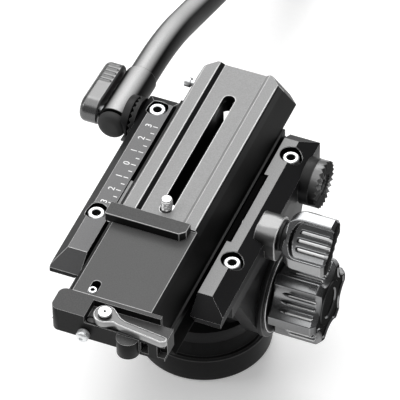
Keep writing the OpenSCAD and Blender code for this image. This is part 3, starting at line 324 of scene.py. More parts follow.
def machined_finish(name, light, dark, rough, stretch, metal=1.0):
    """Turned or brushed bright metal: fine lines stretched along one axis, in tone, gloss and relief."""
    _, tree, shader, coord = start_finish(name)
    place = add_node(tree, "ShaderNodeMapping")
    place.inputs["Scale"].default_value = stretch
    tree.links.new(coord.outputs["Object"], place.inputs["Vector"])
    lines = add_node(tree, "ShaderNodeTexNoise", Scale=1.0, Detail=3.0, Roughness=0.55)
    tree.links.new(place.outputs["Vector"], lines.inputs["Vector"])
    share = span(tree, lines.outputs["Fac"], *NOISE_SPAN, 0.0, 1.0)
    tree.links.new(blend(tree, "MIX", share, dark, light), shader.inputs["Base Color"])
    streaky = span(tree, lines.outputs["Fac"], *NOISE_SPAN, rough - 0.06, rough + 0.08)
    tree.links.new(streaky, shader.inputs["Roughness"])
    add_relief(tree, shader, lines.outputs["Fac"], 0.06, GRAIN_DEPTH)
    shader.inputs["Metallic"].default_value = metal


def moulded_finish(name, colour, rough, pore, dusting=0.2, gloss=0.4):
    """Moulded rubber or paint: pores from cell noise, slight dusting, no metal. Returns the material."""
    made, tree, shader, coord = start_finish(name)
    cells = add_node(tree, "ShaderNodeTexVoronoi", Scale=pore)
    cloud = add_node(tree, "ShaderNodeTexNoise", Scale=60.0, Detail=4.0)
    for noise in (cells, cloud):
        tree.links.new(coord.outputs["Object"], noise.inputs["Vector"])
    dust = span(tree, cloud.outputs["Fac"], *NOISE_SPAN, 1.0 - dusting, 1.0 + dusting)
    tree.links.new(blend(tree, "MULTIPLY", 1.0, colour, dust), shader.inputs["Base Color"])
    patchy = span(tree, cloud.outputs["Fac"], *NOISE_SPAN, rough - 0.08, rough + 0.08)
    tree.links.new(patchy, shader.inputs["Roughness"])
    shader.inputs["Specular IOR Level"].default_value = gloss
    add_relief(tree, shader, cells.outputs["Distance"], 0.2, PORE_DEPTH)
    return made


# Pieces, with their sizes in millimetres

COLLAR_RUN = 46.0  # handle's straight run from the hub to the bend
TUBE_RUN = 85.0  # straight run from the bend to the grip
TUBE_RADIUS = 8.0
GRIP_LENGTH = 110.0
CAP_LENGTH = 6.0
PAINT = 0.02  # height of paint and of sunken rims above their ground
PROUD = 0.03  # height of slim trim above its ground


def scoop_radius(a, radius, scoop, depth, count):
    """Polar radius of a lobed knob: min of a circle and, round each valley, the near side of a scoop
    circle of that radius whose middle lies at radius + scoop - depth."""
    step = 2.0 * np.pi / count
    off = a % step - 0.5 * step
    away = radius + scoop - depth
    under = scoop**2 - (away * np.sin(off)) ** 2
    near = away * np.cos(off) - np.sqrt(np.maximum(under, 0.0))
    near = np.where(under > 0, near, radius + 1.0)
    gap = near - radius
    return radius + np.where(gap > 0, 0.0, gap), off


def tilt_knob_skin(sizes):
    """Lobed knob: polar radius r(a) with scoops, plus three long ridges in each scoop that rise
    along the axis, and an end bevel, a recessed face and a middle button. Returns the knob and the
    quads on the ridge tops, which get a painted highlight."""
    low, high = box_mm("tilt_knob")
    middle, length = 0.5 * (low + high), high[0] - low[0]
    radius, scoop, lobes = 0.5 * (high[1] - low[1]), 15.0, 6
    ridge_turns, ridge_width, ridge_height = (-13.0, 0.0, 13.0), 2.0, 2.0
    a = np.linspace(0.0, 2.0 * np.pi, 900, endpoint=False)
    r, off = scoop_radius(a, radius, scoop, sizes.lobe_depth / MM, lobes)
    r = soften_loop(r[:, None], 6)[:, 0]
    ridge = sum(np.exp(-(((np.degrees(off) - turn) / ridge_width) ** 2)) for turn in ridge_turns)
    stations = np.concatenate([np.linspace(0, 1, 5), np.linspace(1.5, length - 3.4, 26),
                               np.linspace(length - 3.0, length, 7)])
    # How far the outline is drawn in along the knob: bevel at the foot, plain length, bevel at the end
    bevel_run = [0, 0.3, 1, length - 2.8, length - 2.5, length - 0.4, length]
    bevel_inset = [1.1, 0.5, 0, 0, 0.15, 2.1, 2.7]
    inset = np.interp(stations, bevel_run, bevel_inset)
    rise = smooth_step((stations - 5.0) / 6.0) * (1 - smooth_step((stations - length + 3.2) / 0.8))
    rr = r[None, :] - inset[:, None] + ridge_height * np.outer(rise, ridge)
    rings = np.stack([rr * np.cos(a), rr * np.sin(a), np.repeat(stations[:, None], len(a), 1)], 2)
    # Face of the knob from its lip to its button: share of the outline and depth below the end
    steps = ((0.93, 0.0), (0.90, 0.7), (0.55, 0.7), (0.52, 0.2), (0.36, 0.2), (0.33, 1.0), (0.05, 1.0))
    lobed_share = 0.6
    face = []
    for share, depth in steps:
        ring = rings[-1].copy()
        ring[:, :2] *= share
        ring[:, 2] = length - depth
        if share < lobed_share:
            ring[:, :2] *= share * radius / np.linalg.norm(ring[:, :2], axis=1, keepdims=True)
        face.append(ring)
    rings = np.concatenate([rings, np.array(face)])
    rings[..., 2] += low[0]
    highlight_quads = np.outer(rise[:-1], ridge) > 0.72
    return skin(to_x(rings, middle[1], middle[2])), highlight_quads


def wing_skin(sizes):
    """Winged knob along +X: a chamfered bar section whose two wide faces sink into a round-ended
    scoop, depth (1 - (u / w)^2), with lengthwise ridges, and whose span grows on a round shoulder.
    Returns the wing, its turned collar and the quads on the ridge tops, which get a painted highlight."""
    low, high = box_mm("lock_knob")
    foot, y, z = low[0], 0.5 * (low[1] + high[1]), 0.5 * (low[2] + high[2])
    hub = foot + 3.0
    length = high[0] - hub
    half, thick, cut, shoulder = 15.5, 7.5, 4.6, 8.0
    ridge_places, ridge_width, ridge_height = (-4.6, 0.0, 4.6), 1.05, 1.35
    side, face = thick - cut, half - cut
    corners = np.array([[half, -side], [half, side], [face, thick], [-face, thick],
                        [-half, side], [-half, -side], [-face, -thick], [face, -thick]])
    flat = soften_loop(even_loop(corners, 480), 10)
    t = np.concatenate([[0, 0.15, 0.5], np.linspace(1.0, length - 2.2, 54),
                        length - np.array([1.7, 1.4, 0.5, 0.15, 0.0])])
    near = np.clip(t, 0, shoulder)
    span_share = (half - shoulder + np.sqrt(np.maximum(shoulder**2 - (shoulder - near) ** 2, 0.3))) / half
    trim = np.interp(t, [0, 0.5, 1.2, length - 1.7, length - 0.15, length], [1.2, 0.35, 0, 0, 1.5, 1.9])
    u, v = flat[None, :, 0] * span_share[:, None], np.repeat(flat[None, :, 1], len(t), 0)
    wide = np.abs(flat[:, 1]) > thick - 1.0
    reach = half - cut - 0.6
    q = np.clip(u / reach, -1, 1)
    edge = 2.8 + 6.0 * (1 - np.sqrt(np.maximum(1 - q**2, 0.0)))
    bowl = smooth_step((t[:, None] - edge) / 1.6) * (np.abs(u) < reach)
    rim = smooth_step((reach - np.abs(u)) / 1.4)
    ridges = sum(np.exp(-(((u - c) / ridge_width) ** 4)) for c in ridge_places)
    ramp = smooth_step((t[:, None] - edge - 3.5) / 2.0)
    sink = (2.0 + 1.0 * (1 - q**2)) * bowl * rim - ridge_height * ridges * ramp * rim
    v = v - np.sign(v) * sink * wide[None, :]
    u, v = u * (1.0 - trim[:, None] / 15.0), v * (1.0 - trim[:, None] / 9.0)
    turn = math.radians(sizes.lock_turn_deg)
    c, s = math.cos(turn), math.sin(turn)
    turned = np.stack([u * c - v * s, u * s + v * c, np.repeat(t[:, None] + hub, u.shape[1], 1)], 2)
    collar = [[2.7, foot], [8.5, foot], [8.5, foot + 1.6], [7.6, foot + 1.9], [7.6, hub + 1.5]]
    collar = turned_rings(round_edges(collar, 0.5), 96)
    highlight_quads = (ridges * ramp * rim * wide[None, :])[:-1] > 0.8
    return skin(to_x(turned, y, z)), skin(to_x(collar, y, z)), highlight_quads


def belt_loop(r0, r1, reach, count):
    """Outline of two discs, r0 at the origin and r1 at (reach, 0), joined by their outer tangents."""
    lean = math.asin((r0 - r1) / reach)
    a = np.linspace(math.pi / 2 - lean, 1.5 * math.pi + lean, 90)
    b = np.linspace(-math.pi / 2 + lean, math.pi / 2 - lean, 60)
    round_end = np.column_stack([r0 * np.cos(a), r0 * np.sin(a)])
    tip = np.column_stack([reach + r1 * np.cos(b), r1 * np.sin(b)])
    return even_loop(np.vstack([round_end, tip]), count)


def lever_skin():
    """Cam lever in plan: a round hub, an S-shaped neck and a slim arm with a cut tip, as one softened
    outline that is lofted up its height with a small bevel at the foot and a wide one at the top.
    Returns the lever and the quads of its upper bevel, which get a painted highlight."""
    low, high = box_mm("cam_lever")
    hub, count = 6.0, 420
    pivot = np.array([low[0] + hub, high[1] - hub])
    a = np.radians(np.linspace(42, 292, 60))
    arm = [[4.6, -4.6], [6.4, -4.0], [9.0, -4.9], [34.0, -8.0], [36.3, -6.2],
           [35.9, -3.9], [34.0, -3.3], [12.0, -0.9], [8.6, 0.4], [6.2, 2.6]]
    outline = np.vstack([hub * np.column_stack([np.cos(a), np.sin(a)]), arm])
    outline = soften_loop(even_loop(outline, count), 14) + pivot
    foot, top = low[2], high[2]
    rings = inset_rings(outline, [(foot, 0.4), (foot + 0.4, 0.0), (top - 0.6, 0.0), (top - 0.45, 0.05),
                                  (top, 0.5), (top, 0.62), (top - 0.3, 0.85)])
    points, quads, _ = skin(rings, False)
    last = np.arange(count)
    bevel_rows = np.isin(np.arange(len(rings) - 1), [3, 4])
    ends = np.array([last[::-1], last + len(points) - count])
    return (points, quads, ends), np.repeat(bevel_rows[:, None], count, 1)


def handle_knob_skin():
    """One-sided wing along -X: two-disc outline, inset to a round nose, with five grip ridges on
    each flank near the tip and a shallow oval dish on its outer face."""
    low, high = box_mm("handle_knob")
    radius, tip, nose = 8.0, 6.0, 3.5
    z = 0.5 * (low[2] + high[2])
    y = low[1] + radius
    reach, length = high[1] - tip - y, high[0] - low[0]
    ridge_places, ridge_width, ridge_height = np.arange(5) * 3.3 + reach - 12.6, 0.75, 0.55
    outline = belt_loop(radius, tip, reach, 640)
    normal = loop_normals(outline)
    flank = smooth_step((np.abs(normal[:, 1]) - 0.75) / 0.15)
    ridge = sum(np.exp(-(((outline[:, 0] - c) / ridge_width) ** 2)) for c in ridge_places)
    h = np.concatenate([np.linspace(0, nose, 9), np.linspace(4.0, length - 1.2, 22),
                        length - np.array([0.8, 0.3, 0.0])])
    inset = np.where(h < nose, nose - np.sqrt(np.maximum(nose**2 - (nose - h) ** 2, 0.0)), 0.0)
    inset = inset + np.interp(h, [length - 0.8, length], [0, 0.8])
    run = smooth_step((h - 2.0) / 1.5) * (1 - smooth_step((h - length + 2.0) / 1.0))
    lift = ridge_height * np.outer(run, ridge * flank)
    flat = outline[None] - normal[None] * (inset[:, None] - lift)[..., None]
    rings = np.concatenate([flat, np.repeat((h + low[0])[:, None, None], len(outline), 1)], 2)
    dish = []
    for share, depth in ((0.3, 0.6), (0.78, 0.35), (0.82, 0.0)):
        ring = rings[0].copy()
        middle = ring.mean(0)
        ring[:, :2] = middle[:2] + (ring[:, :2] - middle[:2]) * share
        ring[:, 2] += depth
        dish.append(ring)
    rings = np.concatenate([np.array(dish), rings])
    return skin(to_x(rings, y, z))


def fluted_skin(low, high, radius, flutes, depth, h0, h1):
    """Knob along an axis: radius less a raised-cosine flute pattern between the heights h0 and h1,
    with a bevelled foot, a round shoulder and a shallow dish in its face."""
    a = np.linspace(0, 2 * np.pi, 480, endpoint=False)
    wave = np.maximum(np.cos(a * flutes), 0.0) ** 1.5
    length, shoulder = high - low, 2.0
    h = np.concatenate([np.linspace(0, 1, 4), np.linspace(1.5, length - 2.4, 18),
                        np.linspace(length - shoulder, length, 7)])
    inset = np.interp(h, [0, 1], [0.8, 0])
    back = np.clip((h - length + shoulder) / shoulder, 0, 1)
    inset = inset + shoulder * (1 - np.sqrt(1 - back**2 * 0.999))
    cut = depth * smooth_step((h - h0) / 1.5) * smooth_step((h1 - h) / 0.5)
    r = radius - inset[:, None] - np.outer(cut, wave)
    rings = np.stack([r * np.cos(a), r * np.sin(a), np.repeat((h + low)[:, None], len(a), 1)], 2)
    dish = rings[-1:].repeat(3, 0)
    dish[:, :, :2] *= np.array([0.72, 0.68, 0.1])[:, None, None]
    dish[:, :, 2] -= np.array([0.0, 0.6, 0.9])[:, None]
    return np.concatenate([rings, dish])


def thread_skin(x, y, z0, z1, radius, pitch):
    """Screw thread: r = R - d * tri((z - pitch * a / 2 pi) / pitch), faded into a chamfer at the tip."""
    a = np.linspace(0, 2 * np.pi, 72, endpoint=False)
    z = np.linspace(z0, z1, int((z1 - z0) / pitch * 8))
    phase = (z[:, None] / pitch - a[None, :] / (2 * np.pi)) % 1.0
    depth = 0.5 * pitch * np.clip(1.25 - 2.5 * np.abs(phase - 0.5), 0, 1)
    ends = smooth_step((z1 - 0.2 - z) / 0.5)[:, None]
    r = radius - depth * ends - 0.7 * (1 - smooth_step((z1 - z) / 0.9))[:, None]
    return np.stack([x + r * np.cos(a), y + r * np.sin(a), np.repeat(z[:, None], len(a), 1)], 2)


def handle_line(sizes):
    """Centre line of the handle from its collar: straight, an arc that bends down, straight again.
    Returns places, the unit tangents and the run along the line, in the plane x = constant."""
    low, high = box_mm("handle_hub")
    start_y, start_z = 0.5 * (low[1] + high[1]), 0.5 * (low[2] + high[2])
    slope, bend, radius = sizes.handle_slope, sizes.handle_bend, sizes.bend_radius / MM
    first, second = COLLAR_RUN, TUBE_RUN + GRIP_LENGTH + CAP_LENGTH
    run = np.concatenate([np.linspace(12.0, first, 12), first + np.linspace(0, radius * bend, 34)[1:],
                          first + radius * bend + np.linspace(0, second, 40)[1:]])
    angle = slope + np.clip((run - first) / radius, 0, bend)
    tangent = np.column_stack([np.zeros_like(run), np.cos(angle), -np.sin(angle)])
    arc = np.clip(run - first, 0, radius * bend) / radius
    straight = np.minimum(run, first)
    beyond = np.maximum(run - first - radius * bend, 0)
    flat = straight[:, None] * np.array([math.cos(slope), -math.sin(slope)])
    flat = flat + radius * np.column_stack([np.sin(slope + arc) - math.sin(slope),
                                            np.cos(slope + arc) - math.cos(slope)])
    flat = flat + beyond[:, None] * np.array([math.cos(slope + bend), -math.sin(slope + bend)])
    low, high = box_mm("handle_tube")
    x = np.full(len(run), 0.5 * (low[0] + high[0]))
    return np.column_stack([x, start_y + flat[:, 0], start_z + flat[:, 1]]), tangent, run


def swept_skin(place, tangent, radius, count=96):
    """Round tube: place + r (cos a x + sin a n), with n square to the tangent in its plane."""
    a = np.linspace(0, 2 * np.pi, count, endpoint=False)
    side = np.array([1.0, 0.0, 0.0])
    up = np.cross(tangent, side)
    radius = np.broadcast_to(np.asarray(radius, float), (len(place),))
    around = np.cos(a)[None, :, None] * side + np.sin(a)[None, :, None] * up[:, None, :]
    return place[:, None, :] + radius[:, None, None] * around


def along_line(sizes, profile):
    """Turned piece on the handle's line: each profile point is (radius, run), placed by the run."""
    place, tangent, run = handle_line(sizes)
    profile = np.array(profile, float)
    slope = sizes.handle_slope
    at = np.column_stack([np.interp(profile[:, 1], run, place[:, k]) for k in range(3)])
    early = np.minimum(profile[:, 1] - run[0], 0.0)
    at = at + early[:, None] * np.array([0.0, math.cos(slope), -math.sin(slope)])
    lean = np.column_stack([np.interp(profile[:, 1], run, tangent[:, k]) for k in range(3)])
    return skin(swept_skin(at, lean, profile[:, 0]))


def grip_profile(ribs, start):
    """Profile (radius, run) of the grip: a sin^2 belly less cosine ribs and a round shoulder at each end."""
    plain, waist, belly, rib_depth, front_run, back_run = 8.0, 13.0, 0.9, 0.75, 5.0, 4.0
    h = np.linspace(0.0, GRIP_LENGTH, 460)
    wave = 0.5 - 0.5 * np.cos(2 * np.pi * ribs * (h - plain) / (GRIP_LENGTH - 2 * plain))
    wave = np.where((h > plain) & (h < GRIP_LENGTH - plain), wave, 0.0)
    swell = waist + belly * np.sin(np.pi * h / GRIP_LENGTH) ** 2
    front = 3.2 * (1 - np.sqrt(1 - np.clip(1 - h / front_run, 0, 1) ** 2))
    back = 1.6 * (1 - np.sqrt(1 - np.clip((h - GRIP_LENGTH + back_run) / back_run, 0, 1) ** 2))
    side = np.column_stack([swell - rib_depth * wave - (front + back), h + start])
    return np.vstack([[TUBE_RADIUS + 0.05, start], side, [4.0, start + GRIP_LENGTH]])


def stadium_band(y0, y1, inner, outer, z_inner, z_outer):
    """Sloped band round a slot along Y: the inner and the outer round-ended outline, joined."""
    wall = 0.5
    a = np.linspace(0, 2 * np.pi, 160, endpoint=False)
    shift = np.where(np.sin(a) >= 0, y1, y0)
    rings = [np.column_stack([r * np.cos(a), shift + r * np.sin(a), np.full(len(a), z)])
             for r, z in ((inner, z_inner - wall), (inner, z_inner), (outer, z_outer), (outer, z_outer - wall))]
    return np.array(rings + rings[:1])


def strip_box(low, high, bevel):
    """Slim bar with a bevelled top, as rings: foot, shoulder and top of a softened rectangle."""
    low, high = np.array(low, float), np.array(high, float)
    corners = np.array([[low[0], low[1]], [high[0], low[1]], [high[0], high[1]], [low[0], high[1]]])
    outline = even_loop(corners, 160)
    return skin(inset_rings(soften_loop(outline, 2), [(low[2], 0), (high[2] - bevel, 0), (high[2], bevel)]))


# Add-on


class HeadSizes(bpy.types.PropertyGroup):
    """Sizes of the pieces that the looks add."""

    edge_width: bpy.props.FloatProperty(
        name="Edge width", description="Width of the softened edges on the solids", default=0.0004, unit="LENGTH")
    lobe_depth: bpy.props.FloatProperty(
        name="Lobe depth", description="Depth of the scoops in the tilt knob", default=0.005, unit="LENGTH")
    lock_turn_deg: bpy.props.FloatProperty(
        name="Lock turn", description="Turn of the plate lock's wing at rest, in degrees", default=45.0)
    thread_pitch: bpy.props.FloatProperty(
        name="Thread pitch", description="Pitch of the camera screw, twenty to the inch", default=0.00127,
        unit="LENGTH")
    digit_height: bpy.props.FloatProperty(
        name="Digit height", description="Height of the numbers on the scale", default=0.0036, unit="LENGTH")
    handle_slope: bpy.props.FloatProperty(
        name="Handle slope", description="Fall of the handle at its collar", default=math.radians(3),
        unit="ROTATION")
    handle_bend: bpy.props.FloatProperty(
        name="Handle bend", description="Turn of the handle's bend", default=math.radians(17), unit="ROTATION")
    bend_radius: bpy.props.FloatProperty(
        name="Bend radius", description="Radius of the bend on the handle's centre line", default=0.145,
        unit="LENGTH")
    rib_count: bpy.props.IntProperty(
        name="Grip ribs", description="Number of ribs on the handle's grip", default=26, min=6)


class HeadColours(bpy.types.PropertyGroup):
    """Colours of the finishes, as linear values; the tone where a piece faces up and the tone on its flanks are
    painted light and shade.
    """

    plate_top: bpy.props.FloatVectorProperty(
        name="Plate top", description="Plate where it faces up", default=(0.27, 0.27, 0.27), size=3,
        subtype="COLOR")
    plate_side: bpy.props.FloatVectorProperty(
        name="Plate flank", description="Plate on its flanks", default=(0.012, 0.012, 0.0125), size=3,
        subtype="COLOR")
    rail_top: bpy.props.FloatVectorProperty(
        name="Rail top", description="Left rail where it faces up", default=(0.17, 0.17, 0.172), size=3,
        subtype="COLOR")
    rail_side: bpy.props.FloatVectorProperty(
        name="Rail side", description="Rails on their chamfers and sides", default=(0.012, 0.012, 0.0125), size=3,
        subtype="COLOR")
    black: bpy.props.FloatVectorProperty(
        name="Black", description="Flanks of the black bodies", default=(0.006, 0.006, 0.0065), size=3,
        subtype="COLOR")
    knob: bpy.props.FloatVectorProperty(
        name="Knob", description="Satin knobs where they face up", default=(0.25, 0.253, 0.257), size=3,
        subtype="COLOR")
    steel: bpy.props.FloatVectorProperty(
        name="Steel", description="Plated screws and pins", default=(0.82, 0.82, 0.83), size=3, subtype="COLOR")


def rgba(colour):
    """Colour property as four numbers."""
    return (colour[0], colour[1], colour[2], 1.0)


# Painted highlight on the softened edges that goes with a finish
EDGE_HIGHLIGHT = {
    "plate_satin": "plate_edge_highlight", "front_satin": "light_edge_highlight", "rail_satin": "light_edge_highlight",
    "light_rail": "light_edge_highlight", "housing_satin": "light_edge_highlight", "rosette_satin": "dark_edge_highlight", "black_body": "dark_edge_highlight",
}

# Finish of each solid that stays in view, and the share of the edge width on its edges
SOLID_FINISH = {
    "base_disc": ("black_body", 1.6), "thread_insert": ("bright_steel", 0.5), "base_screws": ("bright_steel", 0.4),
    "pan_post": ("bright_steel", 0), "thrust_ring": ("turned_bronze", 0), "post_nut": ("bright_steel", 0),
    "pan_housing": ("black_body", 1.5), "tilt_shaft": ("bright_steel", 0), "drag_left": ("rail_satin", 0),
    "drag_right": ("rail_satin", 0), "spring_sleeve": ("bright_steel", 0), "brake_screw": ("bright_steel", 0),
    "left_cheek": ("black_body", 2.0), "right_cheek": ("black_body", 2.0), "left_bush": ("turned_bronze", 0),
    "right_bush": ("turned_bronze", 0), "left_hub_cap": ("black_body", 1.5), "right_hub_ring": ("black_body", 1.2),
    "clamp_bed": ("black_body", 1.2), "left_rail": ("rail_satin", 0.9), "right_rail": ("light_rail", 0.9),
    "rail_screws": ("bright_steel", 0.9), "guide_pad": ("light_rail", 0.8), "left_rosette": ("black_body", 0.4),
    # The clamp jaw is black as painted shade in its notch
    "right_rosette": ("rosette_satin", 0.4), "lock_housing": ("housing_satin", 1.5), "clamp_jaw": ("recess_shade", 0.6),
    "lock_screw": ("bright_steel", 0), "tilt_knob_insert": ("bright_steel", 0), "quick_plate": ("plate_satin", 0.8),
    "stop_bar": ("front_satin", 0.9), "front_block": ("front_satin", 0.9), "stop_screw": ("bright_steel", 0.6),
    "lever_screw": ("bright_steel", 0.8), "index_pin": ("bright_steel", 0.6),
    "screw_washer": ("bright_steel", 0.4), "handle_hub": ("black_body", 0.8), "handle_bolt": ("bright_steel", 0),
}


def soften_edges(solid, width, finish):
    """Welds a solid's loose triangles, drops the seams within its flat faces and bevels its edges, which
    get the painted edge highlight that goes with its finish, where there is one."""
    weld = solid.modifiers.new("weld", "WELD")
    weld.merge_threshold = 2e-6
    flat = solid.modifiers.new("flat", "DECIMATE")
    flat.decimate_type = "DISSOLVE"
    flat.angle_limit = math.radians(0.3)
    bevel = solid.modifiers.new("edge", "BEVEL")
    bevel.width = width
    bevel.segments = 2
    bevel.limit_method = "ANGLE"
    bevel.angle_limit = math.radians(28)
    if finish in EDGE_HIGHLIGHT:
        solid.data.materials.append(bpy.data.materials[EDGE_HIGHLIGHT[finish]])
        bevel.material = 1


class FLUIDHEAD_OT_finishes(bpy.types.Operator):
    """Makes the finishes, gives them to the solids that stay in view and softens their edges"""

    bl_idname = "fluid_head.finishes"
    bl_label = "Finishes"

    def execute(self, context):
        c = context.scene.head_colours
        rail_side, knob = rgba(c.rail_side), rgba(c.knob)
        # Blasted finishes: the lighter tone where a piece faces up and the darker one on its flanks are painted light
        # and shade; the plate also gets painted shade on its lower, recessed levels
        blasted_finish("plate_satin", top=rgba(c.plate_top), side=rgba(c.plate_side), knee=(0.8, 0.92), rough=0.42,
                       metal=0.1, wear_and_groove_shade=0, gloss=0.1, front=(-0.058, 0.33), sky=(-0.35, 0, 0.937), depth=(0.1395, 0.08))
        # Painted highlight on the plate's softened edges, with painted shade below a height
        blasted_finish("plate_edge_highlight", top=grey(0.5), side=grey(0.35), knee=(-1.0, 1.0), rough=0.4, metal=0.6,
                       fleck=0.05, wear_and_groove_shade=0, depth=(0.1385, 0.03))
        blasted_finish("front_satin", top=grey(0.065), side=grey(0.01), knee=(0.5, 0.97), rough=0.42, metal=0.1,
                       fleck=0.2, wear_and_groove_shade=0, gloss=0.12)
        blasted_finish("rail_satin", top=rgba(c.rail_top), side=rail_side, knee=(0.86, 0.94), rough=0.42,
                       metal=0.05, wear_and_groove_shade=0, gloss=0.06, sky=(0, -0.1, 0.995))
        blasted_finish("light_rail", top=grey(0.29), side=rail_side, knee=(0.9, 0.95), rough=0.42, metal=0.05,
                       wear_and_groove_shade=0, gloss=0.06)
        blasted_finish("black_body", top=grey(0.02), side=rgba(c.black), knee=(0.3, 1.0), rough=0.45, metal=0.1,
                       wear_and_groove_shade=0, gloss=0.18)
        # Painted shade on the knobs' end faces
        blasted_finish("knob_satin", top=knob, side=grey(0.22), knee=(-0.7, 0.7), rough=0.22, metal=0.95,
                       fleck=0.05, wear_and_groove_shade=0.7, bump=0.04, end_face_shade=0.12)
        blasted_finish("wing_satin", top=knob, side=grey(0.5), knee=(-0.7, 0.7), rough=0.24, metal=0.95,
                       fleck=0.05, wear_and_groove_shade=0.7, bump=0.04, end_face_shade=0.12)
        # Painted highlight on ridge tops and on the lever's upper bevel
        blasted_finish("crest_highlight", top=grey(0.8), side=grey(0.62), knee=(-0.5, 0.6), rough=0.3, metal=0.3,
                       fleck=0.04, wear_and_groove_shade=0, bump=0.04)
        blasted_finish("dark_wing", top=grey(0.15), side=grey(0.09), knee=(-0.7, 0.7), rough=0.3, metal=0.8,
                       fleck=0.05, wear_and_groove_shade=0.3, bump=0.05)
        blasted_finish("thread_steel", top=grey(0.6), side=grey(0.6), knee=(-1.0, 1.0), rough=0.3, metal=0.7,
                       fleck=0.02, wear_and_groove_shade=0.5, bump=0.02)
        # Painted shade on the rosette's end face
        blasted_finish("rosette_satin", top=grey(0.16), side=grey(0.012), knee=(0.1, 0.95), rough=0.34, metal=0.5,
                       fleck=0.05, wear_and_groove_shade=0, end_face_shade=0.3)
        blasted_finish("housing_satin", top=grey(0.2), side=grey(0.05), knee=(0.1, 0.95), rough=0.36, metal=0.8,
                       fleck=0.05, wear_and_groove_shade=0, bump=0.05)
        # Painted highlight: a bright streak along the top of the tube and collar, with dark flanks
        blasted_finish("tube_highlight_satin", top=grey(0.46), side=grey(0.006), knee=(0.72, 1.0), rough=0.38, metal=0.15,
                       fleck=0.06, wear_and_groove_shade=0, bump=0.06, gloss=0.06, sky=(0.04, 0.1, 0.994))
        blasted_finish("lever_satin", top=grey(0.11), side=grey(0.2), knee=(0.85, 0.98), rough=0.34, metal=0.8,
                       fleck=0.05, wear_and_groove_shade=0.8, bump=0.05)
        even = (1500, 1500, 1500)
        machined_finish("bright_steel", light=rgba(c.steel), dark=grey(0.6), rough=0.24, stretch=(900, 900, 3000))
        machined_finish("turned_bronze", light=(0.55, 0.39, 0.2, 1), dark=(0.42, 0.29, 0.14, 1), rough=0.32,
                        stretch=(800, 800, 2500))
        # Painted highlights on softened edges and on slim trim
        machined_finish("light_edge_highlight", light=grey(0.5), dark=grey(0.34), rough=0.4, stretch=even, metal=0.6)
        machined_finish("dark_edge_highlight", light=grey(0.055), dark=grey(0.03), rough=0.4, stretch=even, metal=0.5)
        machined_finish("trim_highlight", light=grey(0.75), dark=grey(0.6), rough=0.3, stretch=even)
        moulded_finish("black_rubber", colour=grey(0.01), rough=0.62, pore=1400.0, gloss=0.15)
        moulded_finish("white_paint", colour=grey(0.82), rough=0.5, pore=2600.0)
        # Painted shade in the clamp's notch, the screw wells and sockets, the lever's groove and the dots
        moulded_finish("recess_shade", colour=grey(0.002), rough=0.8, pore=1800.0, gloss=0.02)
        for name, (finish, share) in SOLID_FINISH.items():
            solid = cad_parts[name]
            solid.data.materials.clear()
            solid.data.materials.append(bpy.data.materials[finish])
            if share:
                soften_edges(solid, context.scene.head_sizes.edge_width * share, finish)
        return {"FINISHED"}


class FLUIDHEAD_OT_knobs(bpy.types.Operator):
    """Makes the tilt knob, the plate lock's wing and collar, the handle knob, the cam lever and the pan knob"""

    bl_idname = "fluid_head.knobs"
    bl_label = "Knobs"

    def execute(self, context):
        sizes = context.scene.head_sizes
        knob, highlight_quads = tilt_knob_skin(sizes)
        put("tilt_knob_look", knob, "tilt_lock", "knob_satin", ["tilt_knob"], highlight_quads=highlight_quads)
        wing, collar, highlight_quads = wing_skin(sizes)
        put("lock_wing_look", wing, "plate_lock", "wing_satin", ["lock_knob"], highlight_quads=highlight_quads)
        put("lock_collar_look", collar, "plate_lock", "black_body")
        put("handle_knob_look", handle_knob_skin(), "handle_lock", "dark_wing", ["handle_knob"])
        lever, bevel = lever_skin()
        put("cam_lever_look", lever, "lever", "lever_satin", ["cam_lever"], 20.0, bevel)
        low, high = box_mm("pan_knob")
        rings = fluted_skin(low[1], high[1], 0.5 * (high[0] - low[0]), flutes=8, depth=2.0, h0=2.5, h1=14.5)
        knob = skin(to_y(rings, 0.0, 0.5 * (low[2] + high[2])))
        put("pan_knob_look", knob, "pan_lock", "knob_satin", ["pan_knob"])
        return {"FINISHED"}


class FLUIDHEAD_OT_handle(bpy.types.Operator):
    """Makes the collar, its end plug, the bent tube, the ribbed grip and its cap"""

    bl_idname = "fluid_head.handle"
    bl_label = "Handle"

    def execute(self, context):
        sizes = context.scene.head_sizes
        place, tangent, run = handle_line(sizes)
        inner = run < run[-1] - CAP_LENGTH
        tube = skin(swept_skin(place[inner], tangent[inner], TUBE_RADIUS))
        put("handle_tube_look", tube, "handle", "tube_highlight_satin", ["handle_tube"])
        # Profiles of (radius, run along the handle's line)
        collar = [[8.02, -5.9], [8.6, -5.95], [9.0, -5.5], [9.0, 31.3], [8.6, 31.9], [8.02, 31.95], [8.02, 30.0]]
        collar = along_line(sizes, round_edges(collar, 0.25))
        put("handle_collar_look", collar, "handle", "tube_highlight_satin", ["handle_collar"])
        plug = [[0.4, -11.9], [4.6, -11.9], [7.1, -10.7], [8.0, -9.2], [8.0, -7.2],
                [7.8, -6.8], [6.8, -6.8], [6.8, -4.6], [0.4, -4.6]]
        plug = along_line(sizes, round_edges(plug, 0.9))
        put("collar_plug_look", plug, "handle", "black_rubber", ["collar_plug"])
        end = run[-1] - CAP_LENGTH
        grip = along_line(sizes, grip_profile(sizes.rib_count, end - GRIP_LENGTH))
        put("grip_look", grip, "handle", "black_rubber", ["grip"])
        cap = [[1.0, end - 2.0], [11.4, end - 2.0], [11.8, end + 1.0], [11.6, end + 4.4], [10.0, end + 5.8],
               [6.5, end + 5.8], [6.2, end + 5.2], [0.5, end + 5.2]]
        cap = along_line(sizes, round_edges(cap, 0.6))
        put("grip_cap_look", cap, "handle", "black_body", ["grip_cap"])
        return {"FINISHED"}


